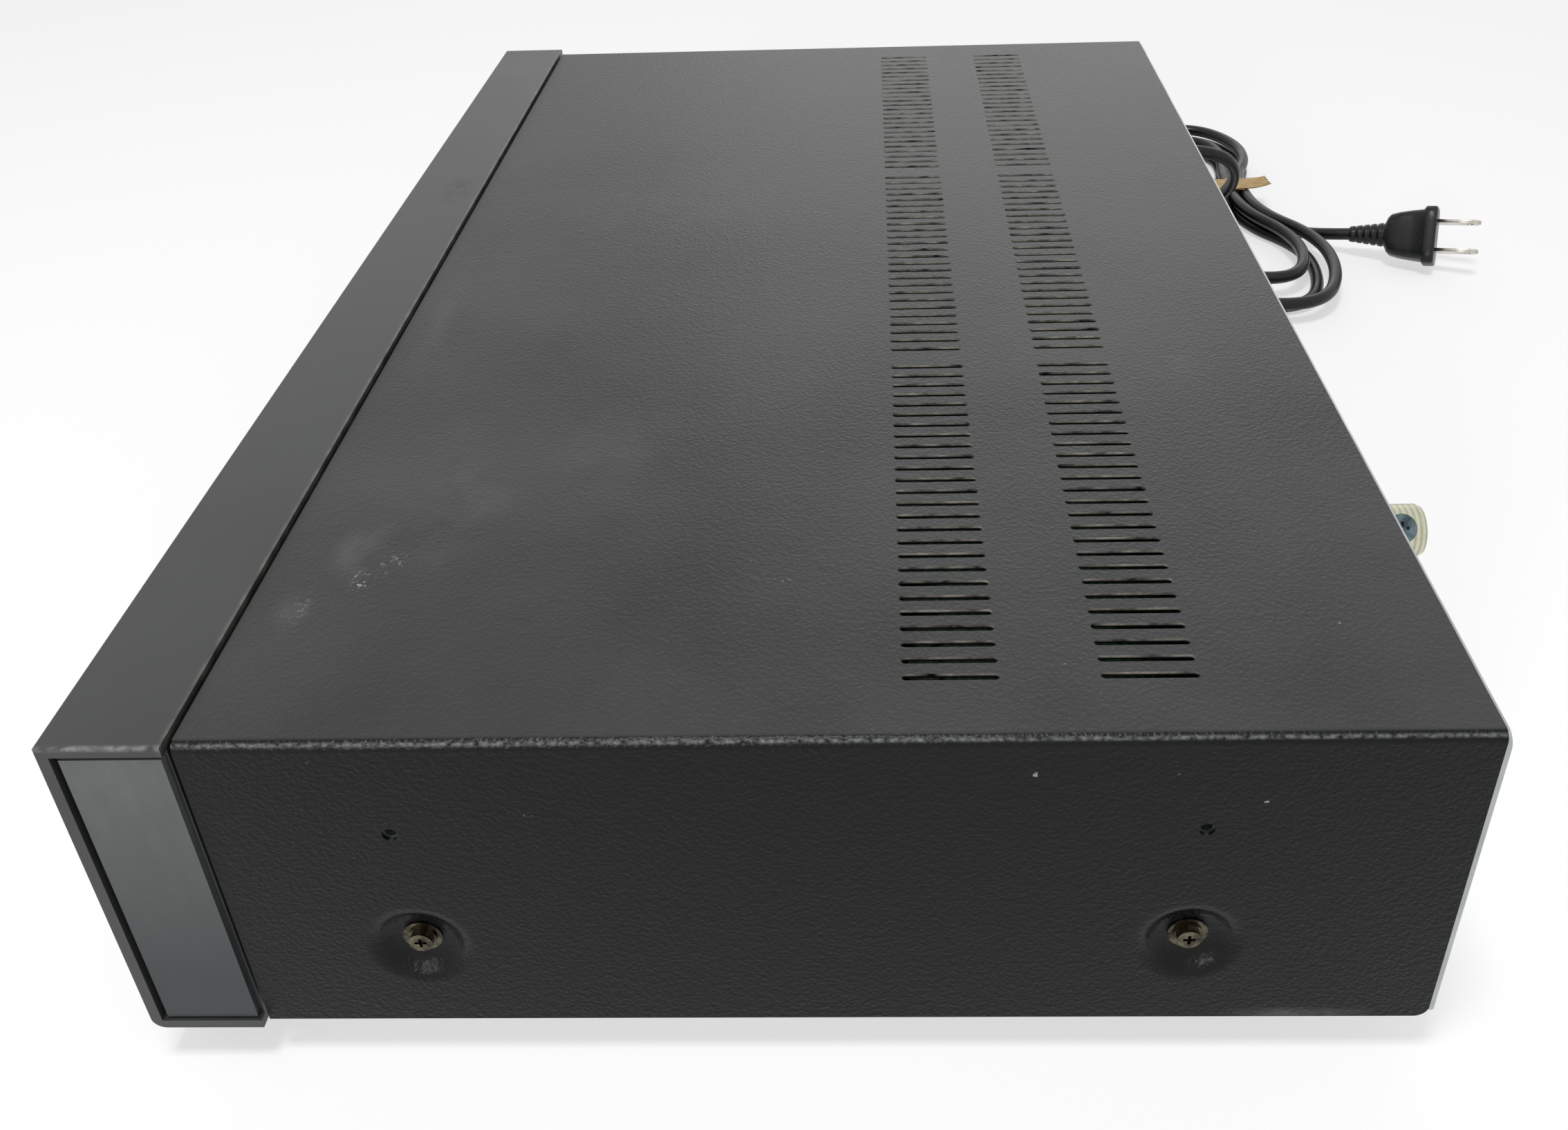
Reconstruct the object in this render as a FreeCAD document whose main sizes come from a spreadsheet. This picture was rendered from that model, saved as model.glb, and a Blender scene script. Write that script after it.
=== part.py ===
import FreeCAD, Part
import math
import os
import re
import Sketcher

# A CD recorder of the usual rack width. +Z is up, the front faces -Y, and Z = 0 is the surface it stands on.
# All sizes are in millimetres.

doc = FreeCAD.newDocument("cd_recorder")
V = FreeCAD.Vector
node_names = []

sizes = {
    # casing
    "cover_width": 430, "cover_height": 82.3, "cover_gauge": 1, "cover_bend": 2.2, "foot_height": 12,
    "bezel_front": -138.6, "bezel_depth": 24.5, "bezel_side": 1.7, "bezel_over": 1.1, "bezel_under": 0.6,
    "seam": 0.8, "cover_rear": 139.4, "rear_gauge": 1, "rear_low": 0.9, "rear_screw_side": 100,
    "cover_corner": 3, "lip_height": 18,
    "vent_long": 19.5, "vent_wide": 1.9, "vent_pitch": 5, "vent_group": 135, "vent_first": -197.5,
    "vent_front_row": 36.6, "vent_rear_row": 75.9,
    "screw_front": -75.4, "screw_rear": 86.2, "screw_height": 36.3, "bracket_height": 69.7,
    "bracket_hole": 1.6, "dish_radius": 12, "dish_floor": 4.8, "dish_depth": 3,
    "chassis_half": 210.9, "chassis_gauge": 1, "chassis_wall": 64, "chassis_lip": 9, "bush_long": 3.1,
    "bezel_wall": 2.3, "bezel_face": 3, "bezel_end": 4, "trim_depth": 2.1, "trim_rim": 2.4,
    "trim_groove": 1.2,
    "trim_thick": 1.5,
    "foot_radius": 21, "foot_side": 165, "foot_front": -85, "foot_rear": 100, "pad_radius": 14,
    "pad_thick": 1.8,
    "pad_sunk": 0.8, "foot_hole": 2,
    "post_side": 135, "post_height": 83.1, "post_radius": 6.3, "post_long": 10.2, "post_screw_along": 3.7,
    "post_screw_tilt": 40, "post_screw_radius": 3.4,
    # front controls
    "tray_centre": -52, "door_width": 139.6, "door_height": 19.8, "door_level": 77, "door_gap": 0.6,
    "window_centre": 97, "window_width": 130, "window_height": 32, "window_level": 69.5,
    "panel_split": 42, "window_thick": 2,
    "button_travel": 0.8, "button_proud": 1.2, "button_gap": 0.3, "button_round": 1,
    "board_front": -118, "board_thick": 1.6, "board_half": 206, "board_low": 17, "board_high": 90,
    "knob_side": 182, "knob_level": 60, "knob_radius": 15, "knob_long": 12, "phones_knob_side": -160,
    "phones_level": 31, "phones_knob_radius": 8, "phones_side": -190, "phones_bore": 3.2, "shaft_radius": 3,
    # disc mechanism
    "disc_front": -64, "tray_half": 66, "tray_low": 71.5, "tray_top": 76, "tray_front_edge": -134,
    "tray_rear_edge": 36, "rail_rear": 60, "slot_half": 21, "well_radius": 60.75, "well_depth": 2.5,
    "loader_half": 71.5, "loader_front": -112, "loader_rear": 74, "loader_low": 36, "loader_floor": 2.5,
    "loader_top": 84, "side_thick": 4.5, "rail_size": 2.5,
    "gear_front": -97, "rack_line": 4, "rack_module": 1.25, "train_module": 1, "axle_radius": 1.5,
    "fit_gap": 0.06,
    "belt_low": 56.4, "belt_height": 1.6, "belt_thick": 1.2, "pulley_low": 55.6, "pulley_high": 59.2,
    "motor_offset": 62, "pulley_radius": 13.2, "motor_pulley_radius": 4,
    "lift_half": 44, "lift_front": -84, "lift_bar": 6, "lift_low": 46, "lift_high": 53, "pivot_rear": 58,
    "pivot_level": 52, "pivot_radius": 2, "pivot_pin": 1, "rocker_axis": -134, "pin_level": 49.5,
    "cam_front": -88.2, "cam_thick": 3, "cam_travel": 18, "cam_drop": 7.9,
    "plate_low": 58, "plate_thick": 1.5, "plate_half": 45, "plate_front": -78, "plate_rear": 46,
    "rod_level": 62.7, "rod_offset": 27, "rod_radius": 1.5, "screw_offset": 38,
    # boards, transformer and sockets
    "board_level": 21, "line_side": 80, "digital_side": 118, "socket_radius": 4.15, "socket_pitch": 16,
    "transformer_side": -165, "transformer_rear": 84,
    # mains cord
    "cord_thick": 5.4, "gland_side": -192, "gland_level": 52, "gland_long": 20,
    "hank_side": -247, "hank_rear": 192.4, "hank_low": 3.7, "layer_step": 6.2, "strand_step": 6.2,
    "waist_half": 7,
    "tie_wide": 12, "tie_thick": 0.6, "tie_gap": 0.3, "tie_flag": 9,
    "plug_roll": 58, "plug_turn": -25, "plug_rise": 8, "plug_side": -191.8, "plug_rear": 237.6,
    "plug_level": 10.6,
    "blade_spacing": 12.7, "blade_long": 17.8,
}

sheet = doc.addObject("Spreadsheet::Sheet", "Sizes")
for row, (alias, amount) in enumerate(sizes.items(), start=1):
    sheet.set(f"A{row}", alias)
    sheet.set(f"B{row}", str(amount))
    sheet.setAlias(f"B{row}", alias)
doc.recompute()

# Levels and edges that several pieces share, as expressions on the sheet.
COVER_TOP = "(foot_height + cover_height)"
BEZEL_REAR = "(bezel_front + bezel_depth)"
COVER_FRONT = "(bezel_front + bezel_depth + seam)"
REAR_FACE = "(cover_rear + rear_gauge)"
FLOOR_TOP = "(foot_height + chassis_gauge)"
FACE_INSIDE = "(bezel_front + bezel_face)"


def bound(text):
    """The text with every alias in it pointing at the sheet."""
    return re.sub(r"[a-z_]+", lambda word: "Sizes." + word[0] if word[0] in sizes else word[0], str(text))


def number(alias):
    return float(sheet.get(alias))


def block(x, y, z, name="Block"):
    """A box between the low and high expression of each axis."""
    made = doc.addObject("Part::Box", name)
    for side, axis, (low, high) in zip(("Length", "Width", "Height"), "xyz", (x, y, z)):
        made.setExpression(side, bound(f"({high}) - ({low})"))
        made.setExpression("Placement.Base." + axis, bound(low))
    return made


def turned_to(axis):
    """The rotation that lays the Z axis along the named axis."""
    rotations = {"x": (V(0, 1, 0), 90), "y": (V(1, 0, 0), -90), "z": (V(0, 0, 1), 0)}
    return FreeCAD.Rotation(*rotations[axis])


def at(made, axis, start, across):
    """Puts a piece that is made along Z onto an axis, from start, across being its two other places."""
    places = dict(zip([a for a in "xyz" if a != axis], across))
    places[axis] = start
    made.Placement = FreeCAD.Placement(V(), turned_to(axis))
    for name, text in places.items():
        made.setExpression("Placement.Base." + name, bound(text))
    return made


def rod(axis, radius, span, across, name="Rod"):
    """A cylinder along an axis, over a span of it."""
    made = doc.addObject("Part::Cylinder", name)
    made.setExpression("Radius", bound(radius))
    made.setExpression("Height", bound(f"({span[1]}) - ({span[0]})"))
    return at(made, axis, span[0], across)


def fuse(parts, name="Fuse"):
    made = doc.addObject("Part::MultiFuse", name)
    made.Shapes = parts
    made.Refine = True
    return made


def cut(base, tools, name="Cut"):
    """The base without the tools. The volume has to become smaller."""
    made = doc.addObject("Part::Cut", name)
    made.Base = base
    made.Tool = fuse(tools) if len(tools) > 1 else tools[0]
    made.Refine = True
    doc.recompute()
    if made.Shape.Volume >= base.Shape.Volume:
        raise ValueError(f"{name}: a tool of this cut misses the solid")
    return made


def shared(base, tool, name="Common"):
    """The base where the tool is."""
    made = doc.addObject("Part::Common", name)
    made.Base, made.Tool = base, tool
    made.Refine = True
    doc.recompute()
    return made


def group(parts, name="Group"):
    made = doc.addObject("Part::Compound", name)
    made.Links = parts
    return made


def node(made, label):
    """Gives a finished piece the name that its file gets."""
    made.Label = label
    node_names.append(made.Name)
    return made


def sketch_on(body, role, offset, name):
    made = body.newObject("Sketcher::SketchObject", name)
    plane = next(p for p in body.Origin.OriginFeatures if p.Role == role)
    made.AttachmentSupport = [(plane, "")]
    made.MapMode = "FlatFace"
    made.setExpression("AttachmentOffset.Base.z", bound(offset))
    return made


def outline(sketch, points):
    """A closed outline whose corners are bound to expressions."""
    count = len(points)
    ring = [V(math.cos(2 * math.pi * i / count), math.sin(2 * math.pi * i / count), 0) for i in range(count)]
    for i in range(count):
        sketch.addGeometry(Part.LineSegment(ring[i], ring[(i + 1) % count]))
    for i in range(count):
        sketch.addConstraint(Sketcher.Constraint("Coincident", i, 2, (i + 1) % count, 1))
    for i, corner in enumerate(points):
        for kind, text in zip(("DistanceX", "DistanceY"), corner):
            made = sketch.addConstraint(Sketcher.Constraint(kind, -1, 1, i, 1, 1.0))
            sketch.setExpression(f"Constraints[{made}]", bound(text))


def rectangle(x, y):
    return [(x[0], y[0]), (x[1], y[0]), (x[1], y[1]), (x[0], y[1])]


def padded(label, corners, y):
    """A body drawn on the XZ plane and padded over a span of Y."""
    body = doc.addObject("PartDesign::Body", label)
    sketch = sketch_on(body, "XZ_Plane", f"-({y[0]})", label + "_outline")
    outline(sketch, corners)
    pad = body.newObject("PartDesign::Pad", label + "_pad")
    pad.Profile = sketch
    pad.Reversed = True
    pad.setExpression("Length", bound(f"({y[1]}) - ({y[0]})"))
    doc.recompute()
    return body


def pocket(body, corners, y, name):
    """Cuts an outline on the XZ plane out of a body over a span of Y."""
    before = body.Shape.Volume
    sketch = sketch_on(body, "XZ_Plane", f"-({y[0]})", name + "_outline")
    outline(sketch, corners)
    made = body.newObject("PartDesign::Pocket", name)
    made.Profile = sketch
    made.setExpression("Length", bound(f"({y[1]}) - ({y[0]})"))
    doc.recompute()
    if body.Shape.Volume >= before:
        raise ValueError(f"{name}: this pocket misses the solid")
    return made


def rounded(body, radius, test, name):
    """Rounds the edges of a body whose middle passes a test."""
    feature = body.Tip
    chosen = [f"Edge{i}" for i, edge in enumerate(feature.Shape.Edges, 1) if test(edge.CenterOfMass)]
    made = body.newObject("PartDesign::Fillet", name)
    made.Base = (feature, chosen)
    made.setExpression("Radius", bound(radius))
    doc.recompute()
    return made


def lathe(name, profile, axis="z", start="0", across=("0", "0")):
    """A turned body: corners of radius and height, revolved and laid along an axis."""
    body = doc.addObject("PartDesign::Body", name)
    sketch = sketch_on(body, "XZ_Plane", "0", name + "_outline")
    outline(sketch, profile)
    made = body.newObject("PartDesign::Revolution", name + "_turned")
    made.Profile = sketch
    made.ReferenceAxis = (sketch, ["V_Axis"])
    made.Angle = 360
    return at(body, axis, start, across)


def shaped(shape, name="Shape"):
    made = doc.addObject("Part::Feature", name)
    made.Shape = shape
    return made


def stadium(long, wide, deep, x, y, z):
    """A slot cutter along Y with round ends, its middle at x, y and its underside at z."""
    r = wide / 2
    h = long / 2 - r
    corners = [V(x - r, y - h, z), V(x - r, y + h, z), V(x + r, y + h, z), V(x + r, y - h, z)]
    edges = [
        Part.LineSegment(corners[0], corners[1]),
        Part.Arc(corners[1], V(x, y + h + r, z), corners[2]),
        Part.LineSegment(corners[2], corners[3]),
        Part.Arc(corners[3], V(x, y - h - r, z), corners[0]),
    ]
    wire = Part.Wire([edge.toShape() for edge in edges])
    return Part.Face(wire).extrude(V(0, 0, deep))


# Casing

def dish_profile(depth, floor, reach):
    """Half of a soft dish, as a face in the XY plane: X is the depth and Y the radius."""
    wide, low = number("dish_radius"), floor
    middle = V(depth / 2, (wide + low) / 2, 0)
    bend = ((wide - low) ** 2 + depth ** 2) / (4 * depth)
    turn = math.asin((wide - low) / 2 / bend) / 2
    first = V(bend * (1 - math.cos(turn)), wide - bend * math.sin(turn), 0)
    second = V(depth, wide + low, 0) - first
    corners = [V(reach, 0, 0), V(reach, wide, 0), V(0, wide, 0), V(depth, low, 0), V(depth, 0, 0)]
    edges = [Part.LineSegment(corners[i], corners[i + 1]) for i in (0, 1)]
    edges += [Part.Arc(corners[2], first, middle), Part.Arc(middle, second, corners[3])]
    edges += [Part.LineSegment(corners[3], corners[4]), Part.LineSegment(corners[4], corners[0])]
    return Part.Face(Part.Wire([edge.toShape() for edge in edges]))


def dishes(inset, reach, name):
    """Solids of revolution for the four screw dishes, pointing inwards from both sides."""
    face = dish_profile(number("dish_depth"), number("dish_floor"), reach)
    solid = face.revolve(V(), V(1, 0, 0), 360)
    made = []
    for side in (-1, 1):
        for alias in ("screw_front", "screw_rear"):
            turned = solid.copy()
            if side > 0:
                turned.rotate(V(), V(0, 0, 1), 180)
            turned.translate(
                V(side * (number("cover_width") / 2 - inset), number(alias), number("screw_height"))
            )
            made.append(turned)
    return shaped(Part.makeCompound(made), name)


def top_cover():
    half = "cover_width / 2"
    body = padded(
        "cover_bent",
        rectangle((f"-{half}", half), ("foot_height", COVER_TOP)),
        (COVER_FRONT, "cover_rear"),
    )
    top, side = number("foot_height") + number("cover_height"), number("cover_width") / 2
    rounded(body, "cover_bend", lambda p: abs(p.z - top) < 0.1 and abs(abs(p.x) - side) < 0.1, "outer_bend")
    low, back = number("foot_height"), number("cover_rear")
    rounded(body, "cover_corner", lambda p: abs(p.z - low) < 0.1 and abs(p.y - back) < 0.1, "rear_corner")
    inner = rectangle(
        (f"-{half} + cover_gauge", f"{half} - cover_gauge"),
        ("foot_height - cover_gauge", f"{COVER_TOP} - cover_gauge"),
    )
    pocket(body, inner, (f"{COVER_FRONT} - seam", "cover_rear + seam"), "cover_hollow")
    top, side = top - number("cover_gauge"), side - number("cover_gauge")
    rounded(
        body,
        "cover_bend - cover_gauge",
        lambda p: abs(p.z - top) < 0.01 and abs(abs(p.x) - side) < 0.01 and abs(p.y) < 100,
        "inner_bend",
    )
    lip = block(
        (f"-{half} + 4 * cover_gauge", f"{half} - 4 * cover_gauge"),
        ("cover_rear - cover_gauge", "cover_rear"),
        (f"{COVER_TOP} - lip_height", f"{COVER_TOP} - cover_gauge / 2"),
    )
    gauge = number("cover_gauge")
    slots = [
        stadium(
            number("vent_long"),
            number("vent_wide"),
            4 * gauge,
            number("vent_first") + number("vent_pitch") * i + number("vent_group") * j,
            number(line),
            top - 2 * gauge,
        )
        for line in ("vent_front_row", "vent_rear_row")
        for j in range(3)
        for i in range(26)
    ]
    steel = fuse([body, lip, dishes(gauge, -gauge / 2, "dish_backs")])
    tools = [dishes(0, -gauge, "dish_faces"), shaped(Part.makeCompound(slots), "vent_slots")]
    for place in ("screw_front", "screw_rear"):
        tools.append(rod("x", "foot_hole + 0.3", (f"-{half}", half), (place, "screw_height")))
        tools.append(rod("x", "bracket_hole", (f"-{half}", half), (place, "bracket_height")))
    tools += [
        rod("y", "bracket_hole", ("cover_rear - 2", "cover_rear + 1"), (x, f"{COVER_TOP} - lip_height / 2"))
        for x in rear_screw_places
    ]
    tools.append(rod("y", "3", ("cover_rear - 2", "cover_rear + 1"), ("post_side", "post_height")))
    node(cut(steel, [group(tools[:2]), *tools[2:]]), "top_cover")


rear_screw_places = ("-rear_screw_side", "0", "rear_screw_side")
foot_places = [
    (f"{side} * foot_side", place) for side in (-1, 1) for place in ("foot_front", "foot_rear")
]


def chassis_base():
    half, gauge = "chassis_half", "chassis_gauge"
    floor = block((f"-{half}", half), (BEZEL_REAR, "cover_rear"), ("foot_height", FLOOR_TOP))
    front = block(
        (f"-{half}", half),
        (BEZEL_REAR, f"{BEZEL_REAR} + {gauge}"),
        ("foot_height", f"{FLOOR_TOP} + chassis_lip"),
    )
    rear = block(
        (f"-{half}", half),
        (f"cover_rear - {gauge}", "cover_rear"),
        ("foot_height", f"{FLOOR_TOP} + chassis_lip"),
    )
    height = ("foot_height", "foot_height + chassis_wall")
    walls = [
        block((f"-{half}", f"-{half} + {gauge}"), (BEZEL_REAR, "cover_rear"), height),
        block((f"{half} - {gauge}", half), (BEZEL_REAR, "cover_rear"), height),
    ]
    bosses = [
        rod("x", "3 * bracket_hole", span, (place, level))
        for span in ((f"-{half}", f"-{half} + 4 * {gauge}"), (f"{half} - 4 * {gauge}", half))
        for place in ("screw_front", "screw_rear")
        for level in ("screw_height", "bracket_height")
    ]
    bushes = [
        rod("x", "2 * bracket_hole", span, (place, "bracket_height"))
        for span in (
            (f"-{half} - bush_long", f"-{half} + {gauge} / 2"),
            (f"{half} - {gauge} / 2", f"{half} + bush_long"),
        )
        for place in ("screw_front", "screw_rear")
    ]
    posts = [
        rod("z", "3", (FLOOR_TOP, "board_level"), (x, y))
        for x in ("45", "195", "-200", "-135")
        for y in ("-85", "25")
    ]
    steel = fuse([floor, front, rear, *walls, *bosses, *bushes, *posts])
    holes = [rod("z", "foot_hole", ("foot_height - 1", f"{FLOOR_TOP} + 1"), place) for place in foot_places]
    for place in ("screw_front", "screw_rear"):
        holes.append(
            rod("x", "bracket_hole - 0.3", (f"-{half} - 4", f"{half} + 4"), (place, "bracket_height"))
        )
        holes.append(rod("x", "1.5", (f"-{half} - 1", f"{half} + 1"), (place, "screw_height")))
    depth = 4 * number("chassis_gauge")
    level = number("foot_height") - number("chassis_gauge")
    slots = [
        stadium(26, 3, depth, x + 8 * i, y, level)
        for x, y in ((70, 20), (70, 70), (-120, -20))
        for i in range(11)
    ]
    node(cut(steel, [group([fuse(holes), shaped(Part.makeCompound(slots), "floor_slots")])]), "chassis_base")


def rear_panel():
    half = "cover_width / 2"
    body = padded(
        "rear_sheet",
        rectangle((f"-{half}", half), ("foot_height", f"{COVER_TOP} - rear_low")),
        ("cover_rear", REAR_FACE),
    )
    side, middle = number("cover_width") / 2, number("cover_rear") + number("rear_gauge") / 2
    rounded(
        body, "cover_corner", lambda p: abs(abs(p.x) - side) < 0.1 and abs(p.y - middle) < 0.1, "rear_corners"
    )
    through = ("cover_rear - 1", f"{REAR_FACE} + 1")
    holes = [
        rod("y", "bracket_hole", through, (x, f"{COVER_TOP} - lip_height / 2")) for x in rear_screw_places
    ]
    holes.append(rod("y", "5.2", through, ("gland_side", "gland_level")))
    holes.append(rod("y", "3", through, ("post_side", "post_height")))
    holes += [rod("y", "socket_radius + 1.2", through, place) for place in line_places + coax_places]
    holes += [
        block((f"{x} - 6.6", f"{x} + 6.6"), through, (f"{z} - 5.1", f"{z} + 5.1")) for x, z in optic_places
    ]
    node(cut(body, holes), "rear_panel")


line_places = [(x, z) for x in ("line_side - 9", "line_side + 9") for z in ("36", "36 + socket_pitch")]
coax_places = [("digital_side", "36"), ("digital_side", "36 + socket_pitch")]
optic_places = [("digital_side + 62", "36"), ("digital_side + 62", "36 + socket_pitch")]

button_rows = {
    # name: centre X, level Z, width, height
    "power_button": ("-180", "77", "30", "13"),
    "play_button": ("-104", "49", "36", "12"),
    "pause_button": ("-68", "49", "28", "12"),
    "stop_button": ("-36", "49", "28", "12"),
    "open_button": ("0", "49", "36", "12"),
    "record_button": ("54", "35", "36", "10"),
    "finalize_button": ("94", "35", "26", "10"),
    "erase_button": ("124", "35", "26", "10"),
    "input_button": ("154", "35", "26", "10"),
    "skip_rocker": ("-92", "29", "60", "10"),
}


def window_span(grow):
    """The window's X and Z spans, made larger by grow all round."""
    return (
        (f"window_centre - window_width / 2 - {grow}", f"window_centre + window_width / 2 + {grow}"),
        (f"window_level - window_height / 2 - {grow}", f"window_level + window_height / 2 + {grow}"),
    )


def front_panel():
    half = "(cover_width / 2 + bezel_side)"
    low, high = "foot_height - bezel_under", f"{COVER_TOP} + bezel_over"
    body = padded("bezel_shell", rectangle((f"-{half}", half), (low, high)), ("bezel_front", BEZEL_REAR))
    front, bottom = number("bezel_front"), number("foot_height") - number("bezel_under")
    rounded(
        body,
        "bezel_face",
        lambda p: abs(p.y - front) < 0.1 and abs(p.z - bottom) < 0.1,
        "bezel_chin",
    )
    pocket(
        body,
        rectangle(
            (f"-{half} + bezel_end", f"{half} - bezel_end"), (f"{low} + bezel_wall", f"{high} - bezel_wall")
        ),
        (FACE_INSIDE, f"{BEZEL_REAR} + 1"),
        "bezel_hollow",
    )
    through = ("bezel_front - 1", f"{FACE_INSIDE} + 1")
    door = "(door_width / 2 + door_gap)"
    pocket(
        body,
        rectangle(
            (f"tray_centre - {door}", f"tray_centre + {door}"),
            ("door_level - door_height / 2 - door_gap", "door_level + door_height / 2 + door_gap"),
        ),
        through,
        "tray_mouth",
    )
    pocket(body, rectangle(*window_span("-3")), through, "window_hole")
    pocket(
        body, rectangle(*window_span("0.1")), ("bezel_front - 1", "bezel_front + window_thick"), "window_seat"
    )
    for name, (x, z, wide, high_side) in button_rows.items():
        pocket(
            body,
            rectangle(
                (f"{x} - {wide} / 2 - button_gap", f"{x} + {wide} / 2 + button_gap"),
                (f"{z} - {high_side} / 2 - button_gap", f"{z} + {high_side} / 2 + button_gap"),
            ),
            through,
            name + "_hole",
        )
    ends = [
        block(
            span,
            (f"bezel_front + trim_rim", f"{BEZEL_REAR} + 1"),
            (f"{low} + trim_rim", f"{high} - trim_rim"),
        )
        for span in (
            (f"-{half} - 1", f"-{half} + trim_depth"),
            (f"{half} - trim_depth", f"{half} + 1"),
        )
    ]
    holes = [
        rod("y", "shaft_radius + 1.5", through, ("knob_side", "knob_level")),
        rod("y", "shaft_radius + 1.5", through, ("phones_knob_side", "phones_level")),
        rod("y", "5", through, ("phones_side", "phones_level")),
    ]
    whole = cut(body, ends + holes)
    ahead = ("bezel_front - 1", FACE_INSIDE)
    slab = block((f"-{half} - 1", f"{half} + 1"), ahead, (f"{low} - 1", f"{high} + 1"))
    mouldings = [cut(whole, [slab])]
    # the face is four mouldings that meet round the tray's mouth
    mouth = [f"tray_centre - {door}", f"tray_centre + {door}"]
    under, over = "door_level - door_height / 2 - door_gap", "door_level + door_height / 2 + door_gap"
    full = (f"-{half} - 1", f"{half} + 1")
    rail = [(full, (over, f"{high} + 1"))]
    beside_power = [((full[0], mouth[0]), (under, over))]
    beside_display = [((mouth[1], full[1]), ("panel_split", over))]
    below = [((full[0], mouth[1]), (f"{low} - 1", under)), ((mouth[1], full[1]), (f"{low} - 1", "panel_split"))]
    for areas in (rail, beside_power, beside_display, below):
        tools = [block(x, ahead, z) for x, z in areas]
        mouldings.append(shared(whole, fuse(tools) if len(tools) > 1 else tools[0]))
    # two lugs on the face's back carry the skip key's pins
    x, z, _, tall = button_rows["skip_rocker"]
    for side in (-1, 1):
        level = f"({z} + {side} * ({tall} / 2 + 2.6))"
        lug = block(
            (f"{x} - 2.5", f"{x} + 2.5"),
            (FACE_INSIDE, f"{FACE_INSIDE} + 3.4"),
            (f"{level} - 1", f"{level} + 1"),
        )
        axle = rod("z", "pivot_pin + 0.1", (f"{level} - 2", f"{level} + 2"), (x, "rocker_axis"))
        mouldings.append(cut(lug, [axle]))
    node(group(mouldings), "front_panel")


def side_trims():
    half = "(cover_width / 2 + bezel_side)"
    low, high = "foot_height - bezel_under + trim_rim", f"{COVER_TOP} + bezel_over - trim_rim"
    plates = [
        block(
            span,
            ("bezel_front + trim_rim + trim_groove", f"{BEZEL_REAR} - seam"),
            (f"{low} + trim_groove / 2", f"{high} - trim_groove"),
        )
        for span in (
            (f"-{half} + trim_depth - trim_thick", f"-{half} + trim_depth"),
            (f"{half} - trim_depth", f"{half} - trim_depth + trim_thick"),
        )
    ]
    node(group(plates), "side_trims")


def feet():
    profile = [
        ("0", "pad_thick"),
        ("pad_radius", "pad_thick"),
        ("pad_radius", "pad_thick - pad_sunk"),
        ("foot_radius - 2.5", "pad_thick - pad_sunk"),
        ("foot_radius - 1.5", "pad_thick + 0.5"),
        ("foot_radius", "foot_height"),
        ("foot_radius - 3", "foot_height"),
        ("foot_radius - 4", "pad_thick + 3"),
        ("6", "pad_thick + 3"),
        ("6", "foot_height"),
        ("0", "foot_height"),
    ]
    made = [lathe(f"foot_{i}", profile, "z", "0", place) for i, place in enumerate(foot_places)]
    bores = [rod("z", "foot_hole", ("0", "foot_height + 1"), place) for place in foot_places]
    node(cut(group(made), bores), "feet")
    pads = [rod("z", "pad_radius - 0.1", ("0", "pad_thick"), place) for place in foot_places]
    node(group(pads), "foot_pads")
    screws = []
    for x, y in foot_places:
        shank = rod("z", "foot_hole - 0.2", ("pad_thick + 0.4", f"{FLOOR_TOP} + 2"), (x, y))
        nut = rod("z", "foot_hole + 2", (FLOOR_TOP, f"{FLOOR_TOP} + 2.6"), (x, y))
        screws.append(fuse([shank, nut]))
    node(group(screws), "foot_screws")


def pan_screw(axis, start, across, outward, name):
    """A pan-head screw of 3 mm with its washer, the head's underside on the washer at start."""
    sign = 1 if outward > 0 else -1
    spans = {
        "washer": (0, 0.6, "4.2"),
        "collar": (0.6, 1.1, "3.1"),
        "head": (1.1, 2.4, "2.5"),
        "shank": (-5, 1.1, "1.4"),
    }
    pieces = {}
    for key, (low, high, radius) in spans.items():
        ends = sorted((sign * low, sign * high))
        pieces[key] = rod(axis, radius, (f"{start} + {ends[0]}", f"{start} + {ends[1]}"), across)
    solid = fuse([pieces["collar"], pieces["head"], pieces["shank"]])
    ring = cut(pieces["washer"], [rod(axis, "1.6", (f"{start} - 2", f"{start} + 2"), across)])
    ends = sorted((sign * 1.4, sign * 4))
    slots = []
    for long, wide in ((2.6, 0.7), (0.7, 2.6)):
        first, second = across
        spans = [
            (f"{first} - {long / 2}", f"{first} + {long / 2}"),
            (f"{second} - {wide / 2}", f"{second} + {wide / 2}"),
        ]
        along = (f"{start} + {ends[0]}", f"{start} + {ends[1]}")
        order = {"x": (along, *spans), "y": (spans[0], along, spans[1]), "z": (*spans, along)}[axis]
        slots.append(block(*order))
    return [cut(solid, slots, name), ring]


def screws():
    seat = "(cover_width / 2 - dish_depth)"
    made = []
    for place in ("screw_front", "screw_rear"):
        made += pan_screw("x", seat, (place, "screw_height"), 1, "side_screw")
        made += pan_screw("x", f"-{seat}", (place, "screw_height"), -1, "side_screw")
    for place in rear_screw_places:
        made += pan_screw("y", REAR_FACE, (place, f"{COVER_TOP} - lip_height / 2"), 1, "rear_screw")
    node(group(made), "cover_screws")


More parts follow.
